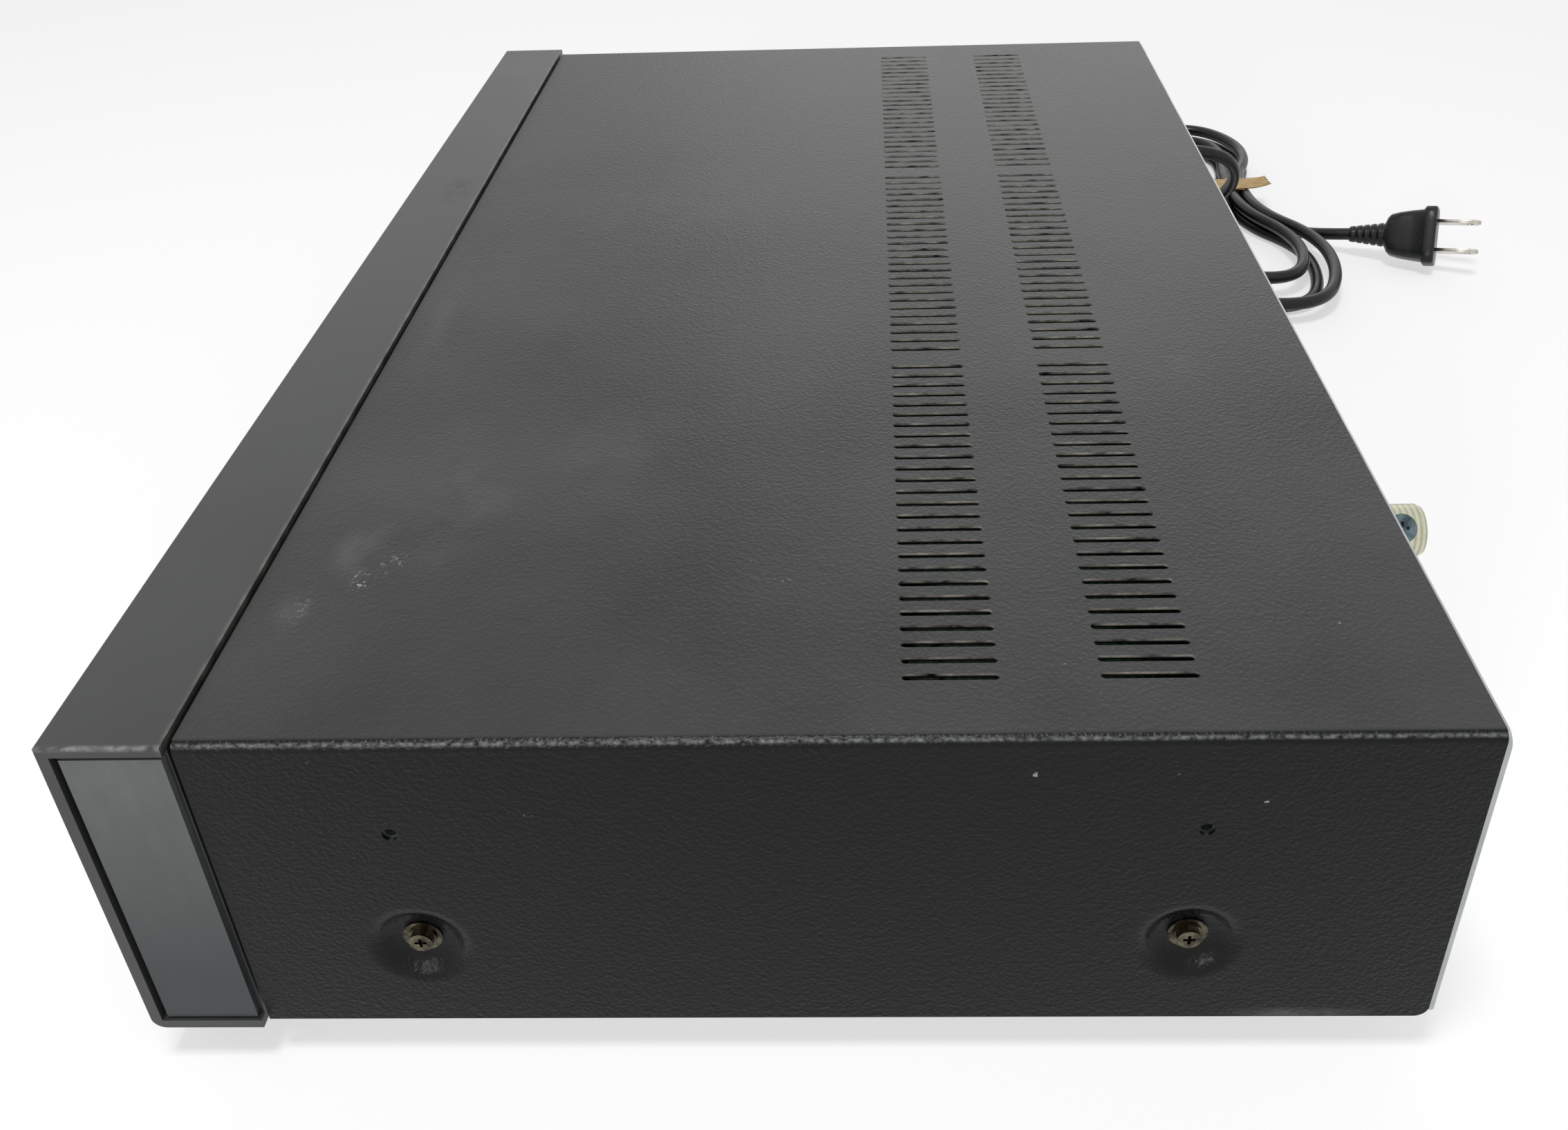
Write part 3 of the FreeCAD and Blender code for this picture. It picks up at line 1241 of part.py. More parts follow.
def biarc(start, start_way, end, end_way):
    """Two tangent arcs, or one straight line, between two points with their directions."""
    chord = end - start
    if chord.getAngle(start_way) < 1e-6:
        return [Part.LineSegment(start, end)]
    both = start_way + end_way
    slack = 2 * (1 - start_way.dot(end_way))
    if slack < 1e-9:
        reach = chord.dot(chord) / (4 * chord.dot(end_way))
    else:
        reach = (-chord.dot(both) + math.sqrt(chord.dot(both) ** 2 + slack * chord.dot(chord))) / slack
    joint = (start + start_way * reach + end - end_way * reach) * 0.5
    arcs = []
    for near, way, far in ((start, start_way, joint), (end, end_way * -1, joint)):
        span = far - near
        across = span - way * span.dot(way)
        radius = span.dot(span) / (2 * across.Length)
        centre = near + across.normalize() * radius
        middle = centre + ((near + far) * 0.5 - centre).normalize() * radius
        ends = (near, middle, far) if near is start else (far, middle, near)
        arcs.append(Part.Arc(*ends))
    return arcs


hank_turns = [
    # side of the tie, place of the widest point, half width there on entry and exit, reach, layer,
    # crossings at the waist
    (-1, 48, 28, 28, 84, 1, -1.5, 1.5),
    (1, 74, 31, 30, 122, 1, 1.5, -0.5),
    (-1, 48, 16.6, 16.6, 67, 1, -0.5, 0.5),
    (1, 70, 20, 20, 97, 1, 0.5, -0.5),
    (-1, 48, 16.6, 16.6, 67, 0, -0.5, 0.5),
    (1, 72, 25, 33, 112, 0, 0.5, -1.5),
    (-1, 48, 28, 28, 84, 0, -1.5, 1.5),
]
CLIMB_TURN = 3


def hank_path():
    """The tied hank, one unbroken line: loops that spiral in on the upper layer and out on the lower one."""
    origin = V(number("hank_side"), number("hank_rear"), 0)
    step, waist = number("strand_step"), number("waist_half")
    levels = [number("hank_low"), number("hank_low") + number("layer_step")]
    stations = [(V(waist, -1.5 * step, levels[1]), V(-1, 0, 0))]
    for i, (side, wide_at, enter, leave, reach, layer, crossing, back) in enumerate(hank_turns):
        level = levels[layer]
        sign = -1 if crossing < 0 else 1
        out, home = V(side, 0, 0), V(-side, 0, 0)
        stations += [
            (V(side * waist, crossing * step, level), out),
            (V(side * wide_at, sign * enter, level), out),
            (V(side * reach, 0, level), V(0, -sign, 0)),
            (V(side * wide_at, -sign * leave, level), home),
        ]
        if i == CLIMB_TURN:
            level = levels[0]
            stations.append((V(wide_at / 2 + 4, -sign * leave * 0.42, level), home))
        stations.append((V(side * waist, back * step, level), home))
    end = stations[-1][0] + V(waist + number("cord_thick") * 2, 0, 0)
    stations.append((end, V(1, 0, 0)))
    edges = []
    for (start, way), (stop, stop_way) in zip(stations, stations[1:]):
        if (stop - start).Length > 0.01:
            edges += biarc(start + origin, way, stop + origin, stop_way)
    return Part.Wire([edge.toShape() for edge in edges])


def least_gap(path, label):
    """Measures on points how near the tube comes to itself, and prints it."""
    thick = number("cord_thick")
    spacing = 2.0
    points = path.discretize(Number=int(path.Length / spacing))
    skip = int(3 * thick / spacing)
    nearest = min(
        (points[i] - points[j]).Length for i in range(len(points)) for j in range(i + skip, len(points))
    )
    print(f"{label}: least gap to itself {nearest - thick:.2f}")
    if nearest - thick < 0.4:
        raise ValueError(f"{label}: the turns come too near each other")


cord_route = [
    (-192, 160.4, 52),
    (-192, 174.3, 50.5),
    (-196.5, 184, 41.5),
    (-207, 186, 28.5),
    (-219, 181.5, 16.5),
    (-229, 181.5, 11),
    (-240, 183.1, 9.9),
]
tail_route = [
    (-236.2, 201.7, 3.7),
    (-228, 203.4, 3.7),
    (-219.5, 208.4, 3.7),
    (-211, 214.9, 4.2),
    (-203, 221.4, 6.4),
    (-196, 228.6, 8.9),
    (-191.8, 237.6, 10.6),
]


def mains_cord():
    profile = [
        ("cord_thick / 2 + 0.2", "-4"), ("7.2", "-4"), ("7.2", "-1"), ("5.1", "-1"), ("5.1", "0.02"),
        ("6.4", "0.02"), ("6.4", "1.6"), ("5.2", "2.2"), ("3.8", "gland_long"), ("cord_thick / 2 + 0.2", "gland_long"),
    ]
    gland = lathe("gland_turned", profile, "y", REAR_FACE, ("gland_side", "gland_level"))
    core = rod(
        "y",
        "cord_thick / 2 + 0.3",
        (f"{REAR_FACE} - 4", f"{REAR_FACE} + gland_long"),
        ("gland_side", "gland_level"),
    )
    node(fuse([gland, core]), "cord_gland")
    route = [V(*point) for point in cord_route]
    hank = hank_path()
    node(shaped(tube(rounded_path(route, "power_cord"), "power_cord")), "power_cord")
    least_gap(hank, "cord_hank")
    node(shaped(tube(hank, "cord_hank")), "cord_hank")
    tail = [V(*point) for point in tail_route]
    node(shaped(tube(rounded_path(tail, "cord_tail"), "cord_tail")), "cord_tail")


def cord_tie():
    """A flat band round the waist of the hank, with its loose end."""
    inner_y = "(1.5 * strand_step + cord_thick / 2 + tie_gap)"
    low = "hank_low - cord_thick / 2 - tie_gap"
    high = "hank_low + layer_step + cord_thick / 2 + tie_gap"
    x = ("hank_side - tie_wide / 2", "hank_side + tie_wide / 2")
    outer = block(
        x,
        (f"hank_rear - {inner_y} - tie_thick", f"hank_rear + {inner_y} + tie_thick"),
        (f"{low} - tie_thick", f"{high} + tie_thick"),
    )
    inner = block(
        ("hank_side - tie_wide", "hank_side + tie_wide"),
        (f"hank_rear - {inner_y}", f"hank_rear + {inner_y}"),
        (low, high),
    )
    flag = block(
        x, (f"hank_rear + {inner_y}", f"hank_rear + {inner_y} + tie_flag"), (high, f"{high} + tie_thick")
    )
    node(fuse([cut(outer, [inner]), flag]), "cord_tie")


def plug():
    """A two-blade plug, made along +Y with the blades side by side along X, then leaned and turned."""
    relief = doc.addObject("Part::Cone", "relief")
    relief.Radius1, relief.Radius2, relief.Height = 3.4, 5.6, 16
    relief.Placement = FreeCAD.Placement(V(0, 0, 0), turned_to("y"))
    ends = []
    for y, wide, high in ((14, 12, 11), (20, 17, 12.4), (28, 22.4, 13.4), (32, 23, 13.6)):
        corners = [V(sx * wide / 2, y, sz * high / 2) for sx, sz in ((-1, -1), (1, -1), (1, 1), (-1, 1))]
        ends.append(Part.makePolygon(corners + corners[:1]))
    grip = shaped(Part.makeLoft(ends, True, True), "grip")
    flange = block(("-12.9", "12.9"), ("31.6", "36.4"), ("-7.6", "7.6"))
    body = fuse([relief, grip, flange])
    half = "blade_spacing / 2"
    blades = [
        block(
            (f"{x} - 0.75", f"{x} + 0.75"), ("33", "36.4 + blade_long"), ("-3.15", "3.15")
        ) for x in (f"-{half}", half)
    ]
    holes = [
        block((f"{x} - 0.75", f"{x} + 0.75"), ("33", "37"), ("-3.15", "3.15")) for x in (f"-{half}", half)
    ]
    pose = FreeCAD.Rotation(V(0, 0, 1), number("plug_turn"))
    pose = pose.multiply(FreeCAD.Rotation(V(1, 0, 0), number("plug_rise")))
    pose = pose.multiply(FreeCAD.Rotation(V(0, 1, 0), number("plug_roll")))
    for made, label in ((cut(body, holes), "plug_body"), (group(blades), "plug_blades")):
        made.Placement = FreeCAD.Placement(V(), pose)
        for axis, alias in zip("xyz", ("plug_side", "plug_rear", "plug_level")):
            made.setExpression("Placement.Base." + axis, bound(alias))
        node(made, label)


top_cover()
chassis_base()
rear_panel()
front_panel()
side_trims()
feet()
screws()
rear_post()
front_controls()
tray_front()
display()
front_board()
knobs()
phones_socket()
drive()
disc_tray()
loader_frame()
clamp_bridge()
lift_frame()
cam_slider()
traverse()
electronics()
sockets()
mains_cord()
cord_tie()
plug()

doc.recompute()
for made in doc.Objects:
    if "Invalid" in made.State or "Error" in made.State:
        raise ValueError(f"{made.Label} failed: {made.State}")
for name in node_names:
    made = doc.getObject(name)
    if made.Shape.isNull() or not made.Shape.isValid():
        raise ValueError(f"{made.Label} has no valid shape")

os.makedirs("parts", exist_ok=True)
for name in node_names:
    made = doc.getObject(name)
    made.Shape.exportStep(f"parts/{made.Label}.step")
print(len(node_names), "nodes")
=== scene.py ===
import math

import bmesh
import bpy
from mathutils import Matrix, Vector


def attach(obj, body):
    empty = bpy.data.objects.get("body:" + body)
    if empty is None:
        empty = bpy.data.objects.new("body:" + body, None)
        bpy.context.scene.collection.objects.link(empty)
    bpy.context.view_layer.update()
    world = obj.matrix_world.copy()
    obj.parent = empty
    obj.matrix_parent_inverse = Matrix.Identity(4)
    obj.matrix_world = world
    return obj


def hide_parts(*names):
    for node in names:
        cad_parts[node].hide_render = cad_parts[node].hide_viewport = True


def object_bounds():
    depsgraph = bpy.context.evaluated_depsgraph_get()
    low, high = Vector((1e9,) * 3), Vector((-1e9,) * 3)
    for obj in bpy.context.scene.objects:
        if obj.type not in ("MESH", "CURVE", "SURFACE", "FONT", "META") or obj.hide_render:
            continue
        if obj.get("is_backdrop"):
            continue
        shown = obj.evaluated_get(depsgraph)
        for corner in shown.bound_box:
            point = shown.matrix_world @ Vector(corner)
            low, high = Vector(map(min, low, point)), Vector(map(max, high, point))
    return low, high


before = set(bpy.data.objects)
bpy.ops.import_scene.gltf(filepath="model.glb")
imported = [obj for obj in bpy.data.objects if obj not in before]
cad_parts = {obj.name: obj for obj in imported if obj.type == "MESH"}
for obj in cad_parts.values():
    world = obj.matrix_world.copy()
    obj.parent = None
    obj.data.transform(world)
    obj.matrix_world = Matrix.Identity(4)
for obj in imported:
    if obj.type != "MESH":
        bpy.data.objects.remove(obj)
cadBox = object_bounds()
mm = 0.001
scene = bpy.context.scene

# where the picture is taken from: high at the right-hand end, looking along the cover
viewpoint = {
    "place": (414.746, 22.776, 287.09),
    "ahead": (-0.845484, -0.030722, -0.533116),
    "down": (0.5337, -0.0149, -0.8455),
    "focalPixels": 2091.68,
    "centrePixel": (1204.44, 636.55),
    "frame": (2268, 1635),
}


def placeCamera(facts):
    wide, high = facts["frame"]
    camera = bpy.data.cameras.new("shelfCamera")
    camera.sensor_width = 36
    camera.lens = 36 * facts["focalPixels"] / wide
    camera.shift_x = (wide / 2 - facts["centrePixel"][0]) / wide
    camera.shift_y = (facts["centrePixel"][1] - high / 2) / wide
    camera.clip_start = 0.01
    holder = bpy.data.objects.new("shelfCamera", camera)
    ahead = Vector(facts["ahead"]).normalized()
    side = ahead.cross(-Vector(facts["down"])).normalized()
    turn = Matrix((side, side.cross(ahead), -ahead)).transposed().to_4x4()
    holder.matrix_world = Matrix.Translation(Vector(facts["place"]) * mm) @ turn
    scene.collection.objects.link(holder)
    scene.camera = holder


placeCamera(viewpoint)
print("camera placed")


def linear(hexText):
    channels = [int(hexText[i:i + 2], 16) / 255 for i in (1, 3, 5)]
    return [c / 12.92 if c <= 0.04045 else ((c + 0.055) / 1.055) ** 2.4 for c in channels] + [1]


# adds one node; stops are a ramp's places and shades, and the chosen output comes back
def addNode(tree, kind, inputs=None, out=0, stops=(), **settings):
    made = tree.nodes.new("ShaderNode" + kind)
    for name, value in settings.items():
        setattr(made, name, value)
    for i, (place, shade) in enumerate(stops):
        band = made.color_ramp.elements
        if i == 0:
            band.remove(band[1])
            band[0].position = place
        stop = band.new(place) if i else band[0]
        stop.color = linear(shade) if isinstance(shade, str) else (shade, shade, shade, 1)
    for name, value in (inputs or {}).items():
        if isinstance(value, bpy.types.NodeSocket):
            tree.links.new(value, made.inputs[name])
        else:
            made.inputs[name].default_value = value
    return made.outputs[out] if len(made.outputs) else made


def startMaterial(name):
    made = bpy.data.materials.new(name)
    made.use_nodes = True
    tree = made.node_tree
    tree.nodes.clear()
    surface = tree.nodes.new("ShaderNodeBsdfPrincipled")
    addNode(tree, "OutputMaterial", {"Surface": surface.outputs[0]})
    return made, tree, surface, addNode(tree, "TexCoord", out="Object")


# plain holds what is mostly the same all over the surface, such as how metallic it is
def finishSurface(tree, surface, colour, roughness, height=None, depth=0.0, plain=None):
    for name, value in {"Base Color": colour, "Roughness": roughness, **(plain or {})}.items():
        if isinstance(value, bpy.types.NodeSocket):
            tree.links.new(value, surface.inputs[name])
        else:
            surface.inputs[name].default_value = value
    if height:
        relief = addNode(tree, "Bump", {"Height": height, "Distance": depth * mm, "Strength": 0.6})
        tree.links.new(relief, surface.inputs["Normal"])


# 1 at the centre of a mark, fading to 0 at its reach; both in millimetres
def patch(tree, where, centre, reach):
    away = addNode(tree, "VectorMath", {0: where, 1: [c * mm for c in centre]}, operation="SUBTRACT")
    away = addNode(tree, "VectorMath", {0: away, 1: [r * mm for r in reach]}, operation="DIVIDE")
    away = addNode(tree, "VectorMath", {0: away}, out="Value", operation="LENGTH")
    fade = {"Value": away, "To Min": 1.0, "To Max": 0.0}
    return addNode(tree, "MapRange", fade, interpolation_type="SMOOTHSTEP")


# cloudy variation from 0 to 1; size is how far apart the clouds are, in millimetres
def clouds(tree, where, size, low=0.3, high=0.7, detail=4.0, stretch=(1, 1, 1)):
    place = addNode(tree, "Mapping", {"Vector": where, "Scale": stretch})
    cloud = addNode(tree, "TexNoise", {"Vector": place, "Scale": 1 / (size * mm), "Detail": detail})
    return addNode(tree, "MapRange", {"Value": cloud, "From Min": low, "From Max": high})


# baked paint rolled with a leather grain on steel: soft black, pebbled, with dust lying on its top that is
# also a painted sheen there, a painted glint along its bends and a painted highlight on its slots' edges
grainedPaint = {
    "black": "#090a0c",
    "dustAndPaintedSheen": "#868986",
    "pebble": 0.85,  # a little coarser than the real grain, so that it shows
    "dustAndSheenFilm": (0.12, 0.235),  # how much of the top the dust and painted sheen cover, where they are thin and where they are thick
    "smears": [  # centre, reach, strength: rubbed places on the top, then low on the side
        ((153, -94, 94), (16, 9, 9), 0.2), ((140, -76, 94), (34, 20, 9), 0.1),
        ((174, -103, 94), (14, 6, 9), 0.12), ((109, -41, 94), (38, 30, 9), 0.05),
        ((-40, -44, 94), (50, 60, 9), 0.04), ((71, 104, 94), (20, 14, 9), 0.05),
        ((43, -104, 94), (40, 6, 9), 0.08), ((215, 111, 13), (6, 20, 3), 0.5),
    ],
    "chips": [  # bright scratches in the grain
        ((164, -91, 94), (5.5, 3.5, 9), 1.6), ((158, -86, 94), (6, 5, 9), 0.5),
        ((174, -102, 94), (9, 4, 9), 0.3), ((166, 2, 94), (2, 2, 9), 0.8),
        ((182, 116, 94), (1.6, 1.6, 9), 2.5), ((215, 97, 77), (9, 1.2, 1.2), 2.5),
        ((215, 52, 85), (9, 1, 1), 2.0), ((215, -50, 75), (6, 6, 0.8), 0.6),
    ],
    "glintBends": ((-214.4, 0, 93.7), (214.4, 0, 93.7)),  # where a painted glint runs along the cover's bends, in flecks across the grain
    "glintBendReach": (0.7, 900, 0.7),
    "glintBendShare": 0.66,
    "slotHighlightAndDust": "#a7a298",  # painted highlight with dust on the lit edges of the slots
    "slotHighlightFrom": (93.55, 93.9),  # heights over which that painted highlight and dust set in
    "edgeWithin": 208,  # the slots lie nearer the middle than this
}


def grainedPaintMaterial(facts):
    made, tree, surface, where = startMaterial("baked leather-grain paint on steel")
    grain = {"Vector": where, "Scale": 1 / (facts["pebble"] * mm)}
    pebbles = addNode(tree, "TexVoronoi", grain, feature="SMOOTH_F1")
    fine = clouds(tree, where, 0.5, 0, 1, 2)
    height = addNode(tree, "Math", {0: fine, 1: 0.5, 2: pebbles}, operation="MULTIPLY_ADD")
    dustAndSheenFilm = clouds(tree, where, 70, 0.3, 0.75)
    broken = {
        "smears": clouds(tree, where, 12, 0.36, 0.68, 6),
        "chips": clouds(tree, where, 1.1, 0.56, 0.64, 3),
    }
    # painted sheen: the dust film on the flat top also lightens the top over the sides, as reflected light
    # would
    thin, thick = facts["dustAndSheenFilm"]
    dustAndPaintedSheen = addNode(tree, "MapRange", {"Value": dustAndSheenFilm, "To Min": thin, "To Max": thick})
    level = addNode(tree, "SeparateXYZ", {"Vector": addNode(tree, "NewGeometry", out="Normal")}, out="Z")
    lying = addNode(tree, "MapRange", {"Value": level, "From Min": 0.94, "From Max": 0.995, "To Min": 0.02})
    dustAndPaintedSheen = addNode(tree, "Math", {0: dustAndPaintedSheen, 1: lying}, operation="MULTIPLY")
    for kind, share in broken.items():
        for centre, reach, strength in facts[kind]:
            spot = patch(tree, where, centre, reach)
            spot = addNode(tree, "Math", {0: spot, 1: share}, operation="MULTIPLY")
            dustAndPaintedSheen = addNode(tree, "Math", {0: spot, 1: strength, 2: dustAndPaintedSheen}, operation="MULTIPLY_ADD")
    # painted glint along the bends, mixed into the colour in broken flecks
    for middle in facts["glintBends"]:
        bendGlint = patch(tree, where, middle, facts["glintBendReach"])
        lightEdgeFlecks = clouds(tree, where, 0.8, 0.34, 0.66, 3, (1, 0.6, 0.4))
        bendGlint = addNode(tree, "Math", {0: bendGlint, 1: lightEdgeFlecks}, operation="MULTIPLY")
        dustAndPaintedSheen = addNode(tree, "Math", {0: bendGlint, 1: facts["glintBendShare"], 2: dustAndPaintedSheen}, operation="MULTIPLY_ADD")
    speck = addNode(tree, "TexVoronoi", {"Vector": where, "Scale": 1 / (30 * mm)})
    speck = addNode(tree, "MapRange", {"Value": speck, "From Max": 0.014, "To Min": 0.4, "To Max": 0.0})
    dustAndPaintedSheen = addNode(tree, "Math", {0: dustAndPaintedSheen, 1: speck}, operation="ADD", use_clamp=True)
    shades = {6: linear(facts["black"]), 7: linear(facts["dustAndPaintedSheen"])}
    colour = addNode(tree, "Mix", {0: dustAndPaintedSheen, **shades}, out=2, data_type="RGBA")
    # painted highlight with some dust: the slots' upright walls near the top are lightened
    across = addNode(tree, "SeparateXYZ", {"Vector": where}, out="X")
    across = addNode(tree, "Math", {0: across}, operation="ABSOLUTE")
    inside = addNode(tree, "Math", {0: across, 1: facts["edgeWithin"] * mm}, operation="LESS_THAN")
    upright = addNode(tree, "Math", {0: level, 1: 0.3}, operation="LESS_THAN")
    cut = addNode(tree, "Math", {0: inside, 1: upright}, operation="MULTIPLY")
    low, high = (z * mm for z in facts["slotHighlightFrom"])
    raised = addNode(tree, "SeparateXYZ", {"Vector": where}, out="Z")
    lit = addNode(tree, "MapRange", {"Value": raised, "From Min": low, "From Max": high})
    cut = addNode(tree, "Math", {0: cut, 1: lit}, operation="MULTIPLY")
    cut = addNode(tree, "Math", {0: cut, 1: clouds(tree, where, 5, 0.28, 0.72, 6)}, operation="MULTIPLY")
    colour = addNode(tree, "Mix", {0: cut, 6: colour, 7: linear(facts["slotHighlightAndDust"])}, out=2, data_type="RGBA")
    rough = addNode(tree, "MapRange", {"Value": dustAndSheenFilm, "To Min": 0.3, "To Max": 0.38})
    finishSurface(tree, surface, colour, rough, height, 0.22, {"Specular IOR Level": 0.16})
    return made


# moulded plastic from an etched tool: an even satin with faint mottling
def mouldedPlastic(name, dark, light, roughness, grain=0.6, depth=0.03, gloss=0.45):
    made, tree, surface, where = startMaterial(name)
    mottle = clouds(tree, where, 24)
    colour = addNode(tree, "ValToRGB", {"Fac": mottle}, stops=[(0.0, dark), (1.0, light)])
    spread = {"To Min": roughness - 0.03, "To Max": roughness + 0.05}
    rough = addNode(tree, "MapRange", {"Value": mottle, **spread})
    etched = clouds(tree, where, grain, 0, 1, 2)
    finishSurface(tree, surface, colour, rough, etched, depth, {"Specular IOR Level": gloss})
    return made


# moulded bezel: satin, with a thumb mark on its top edge and dust at its seam with the cover
def bezelPlastic():
    made, tree, surface, where = startMaterial("satin moulded ABS bezel")
    mottle = clouds(tree, where, 34, 0.3, 0.75, 5)
    base = addNode(tree, "ValToRGB", {"Fac": mottle}, stops=[(0.0, "#2a2b2c"), (1.0, "#343536")])
    thumb = patch(tree, where, (-57, -122.5, 95), (17, 7, 9))
    thumb = addNode(tree, "Math", {0: thumb, 1: clouds(tree, where, 5, 0.42, 0.58, 6)}, operation="MULTIPLY")
    colour = addNode(tree, "Mix", {0: thumb, 6: base, 7: linear("#0b0b0c")}, out=2, data_type="RGBA")
    seam = patch(tree, where, (0, -114.3, 95), (900, 1.0, 2.4))
    seam = addNode(tree, "Math", {0: seam, 1: clouds(tree, where, 6, 0.35, 0.75, 6)}, operation="MULTIPLY")
    colour = addNode(tree, "Mix", {0: seam, 6: colour, 7: linear("#6d6a62")}, out=2, data_type="RGBA")
    # a lighter line, broken into flecks, along each of the bezel's top side edges
    for end in (-216.7, 216.7):
        lightEdgeFlecks = patch(tree, where, (end, -126, 95.4), (1.3, 900, 1.3))
        breaks = clouds(tree, where, 2.4, 0.36, 0.6, 5)
        lightEdgeFlecks = addNode(tree, "Math", {0: lightEdgeFlecks, 1: breaks}, operation="MULTIPLY")
        colour = addNode(tree, "Mix", {0: lightEdgeFlecks, 6: colour, 7: linear("#7c7c79")}, out=2, data_type="RGBA")
    rough = addNode(tree, "MapRange", {"Value": mottle, "To Min": 0.34, "To Max": 0.42})
    etched = clouds(tree, where, 0.6, 0, 1, 2)
    finishSurface(tree, surface, colour, rough, etched, 0.03, {"Specular IOR Level": 0.48})
    return made


# rolled or pressed metal under a thin plate: cool and cloudy, with fine lines along one way
def platedMetal(name, light, dark, roughness, line=1.2, along=(0.06, 1, 1), depth=0.012, cloud=14):
    made, tree, surface, where = startMaterial(name)
    haze = clouds(tree, where, cloud, 0.3, 0.7, 5)
    lines = clouds(tree, where, line, 0.25, 0.75, 2, along)
    colour = addNode(tree, "ValToRGB", {"Fac": haze}, stops=[(0.0, light), (1.0, dark)])
    spread = {"To Min": roughness - 0.06, "To Max": roughness + 0.08}
    rough = addNode(tree, "MapRange", {"Value": lines, **spread})
    finishSurface(tree, surface, colour, rough, lines, depth, {"Metallic": 1.0})
    return made


# a wave texture whose scale is 1 over this many lengths repeats every two lengths, nearly
waveStretch = 6.2


# turned metal, plated or bare: rings left by the cutting tool, drawn 1.4 mm apart so that they show
def turnedMetal(name, light, dark, ring=0.7):
    made, tree, surface, where = startMaterial(name)
    cuts = {"Vector": where, "Scale": 1 / (ring * waveStretch * mm), "Distortion": 0.5, "Detail": 2.0}
    waves = addNode(tree, "TexWave", cuts, bands_direction="Y")
    colour = addNode(tree, "ValToRGB", {"Fac": waves}, stops=[(0.0, dark), (1.0, light)])
    rough = addNode(tree, "MapRange", {"Value": waves, "To Min": 0.26, "To Max": 0.16})
    finishSurface(tree, surface, colour, rough, waves, 0.007, {"Metallic": 1.0})
    return made


# aluminium plate under a satin grey lacquer: even and soft, with a painted sheen that lightens it in streaks
# towards its top edge
def lacqueredTrim():
    made, tree, surface, where = startMaterial("satin lacquered trim plate")
    haze = clouds(tree, where, 20, 0.3, 0.7, 5)
    colour = addNode(tree, "ValToRGB", {"Fac": haze}, stops=[(0.0, "#26282b"), (1.0, "#2b2d30")])
    # painted sheen: lighter towards the top edge, as reflected light would make it
    height = addNode(tree, "SeparateXYZ", {"Vector": where}, out="Z")
    paintedTopSheen = addNode(tree, "MapRange", {"Value": height, "From Min": 27 * mm, "From Max": 95 * mm})
    streaks = clouds(tree, where, 2.5, 0.2, 0.75, 4, (1, 1, 0.25))
    streaks = addNode(tree, "Math", {0: streaks, 1: 0.3, 2: 0.7}, operation="MULTIPLY_ADD")
    paintedTopSheen = addNode(tree, "Math", {0: paintedTopSheen, 1: streaks}, operation="MULTIPLY")
    colour = addNode(tree, "Mix", {0: paintedTopSheen, 6: colour, 7: linear("#5f6160")}, out=2, data_type="RGBA")
    rough = addNode(tree, "MapRange", {"Value": haze, "To Min": 0.3, "To Max": 0.38})
    skin = clouds(tree, where, 1.8, 0, 1, 3)
    finishSurface(tree, surface, colour, rough, skin, 0.012, {"Specular IOR Level": 0.4})
    return made


# extruded soft vinyl: black with a waxy shine, and lint that clings to it
def cordVinyl():
    made, tree, surface, where = startMaterial("extruded black vinyl")
    lint = clouds(tree, where, 1.6, 0.6, 0.8, 6)
    lint = addNode(tree, "Math", {0: lint, 1: 0.22}, operation="MULTIPLY")
    shades = {6: linear("#0c0d0e"), 7: linear("#6c6b66")}
    colour = addNode(tree, "Mix", {0: lint, **shades}, out=2, data_type="RGBA")
    rough = addNode(tree, "MapRange", {"Value": clouds(tree, where, 7), "To Min": 0.28, "To Max": 0.4})
    swell = clouds(tree, where, 2.4, 0, 1)
    finishSurface(tree, surface, colour, rough, swell, 0.08, {"Specular IOR Level": 0.3})
    return made


# a strip of creped paper tape: matt tan with fine ridges across it
def crepedTape():
    made, tree, surface, where = startMaterial("tan creped paper tape")
    crepe = clouds(tree, where, 0.9, 0.25, 0.75, 3, (1, 0.3, 0.3))
    colour = addNode(tree, "ValToRGB", {"Fac": crepe}, stops=[(0.0, "#a3845a"), (1.0, "#cdb285")])
    finishSurface(tree, surface, colour, 0.75, crepe, 0.12, {"Specular IOR Level": 0.25})
    return made


# smoked acrylic, polished: nearly black, with a sharp mirror on top
def smokedAcrylic():
    made, tree, surface, where = startMaterial("polished smoked acrylic")
    wipes = clouds(tree, where, 26, 0.3, 0.8, 4, (1, 1, 0.3))
    colour = addNode(tree, "ValToRGB", {"Fac": wipes}, stops=[(0.0, "#0a0b0d"), (1.0, "#131518")])
    rough = addNode(tree, "MapRange", {"Value": wipes, "To Min": 0.05, "To Max": 0.13})
    finishSurface(tree, surface, colour, rough, plain={"Coat Weight": 0.3, "IOR": 1.49})
    return made


# glass-epoxy board: green resist over paler copper tracks
def circuitBoard():
    made, tree, surface, where = startMaterial("solder resist on glass-epoxy board")
    layout = {"Vector": where, "Scale": 1 / (11 * mm), "Mortar Size": 0.04}
    tracks = addNode(tree, "TexBrick", layout, out="Fac", offset=0.37)
    colour = addNode(tree, "ValToRGB", {"Fac": tracks}, stops=[(0.0, "#16281a"), (1.0, "#2a4428")])
    rough = addNode(tree, "MapRange", {"Value": clouds(tree, where, 3), "To Min": 0.3, "To Max": 0.45})
    finishSurface(tree, surface, colour, rough, tracks, 0.05)
    return made


# varnished laminations: dark stripes for the edges of the sheets, drawn 2 mm apart so that they show
def laminations():
    made, tree, surface, where = startMaterial("varnished transformer laminations")
    stack = {"Vector": where, "Scale": 1 / (waveStretch * mm)}
    sheets = addNode(tree, "TexWave", stack, bands_direction="Z")
    colour = addNode(tree, "ValToRGB", {"Fac": sheets}, stops=[(0.3, "#2c2b2a"), (0.7, "#55524d")])
    finishSurface(tree, surface, colour, 0.5, sheets, 0.1, {"Metallic": 0.6})
    return made


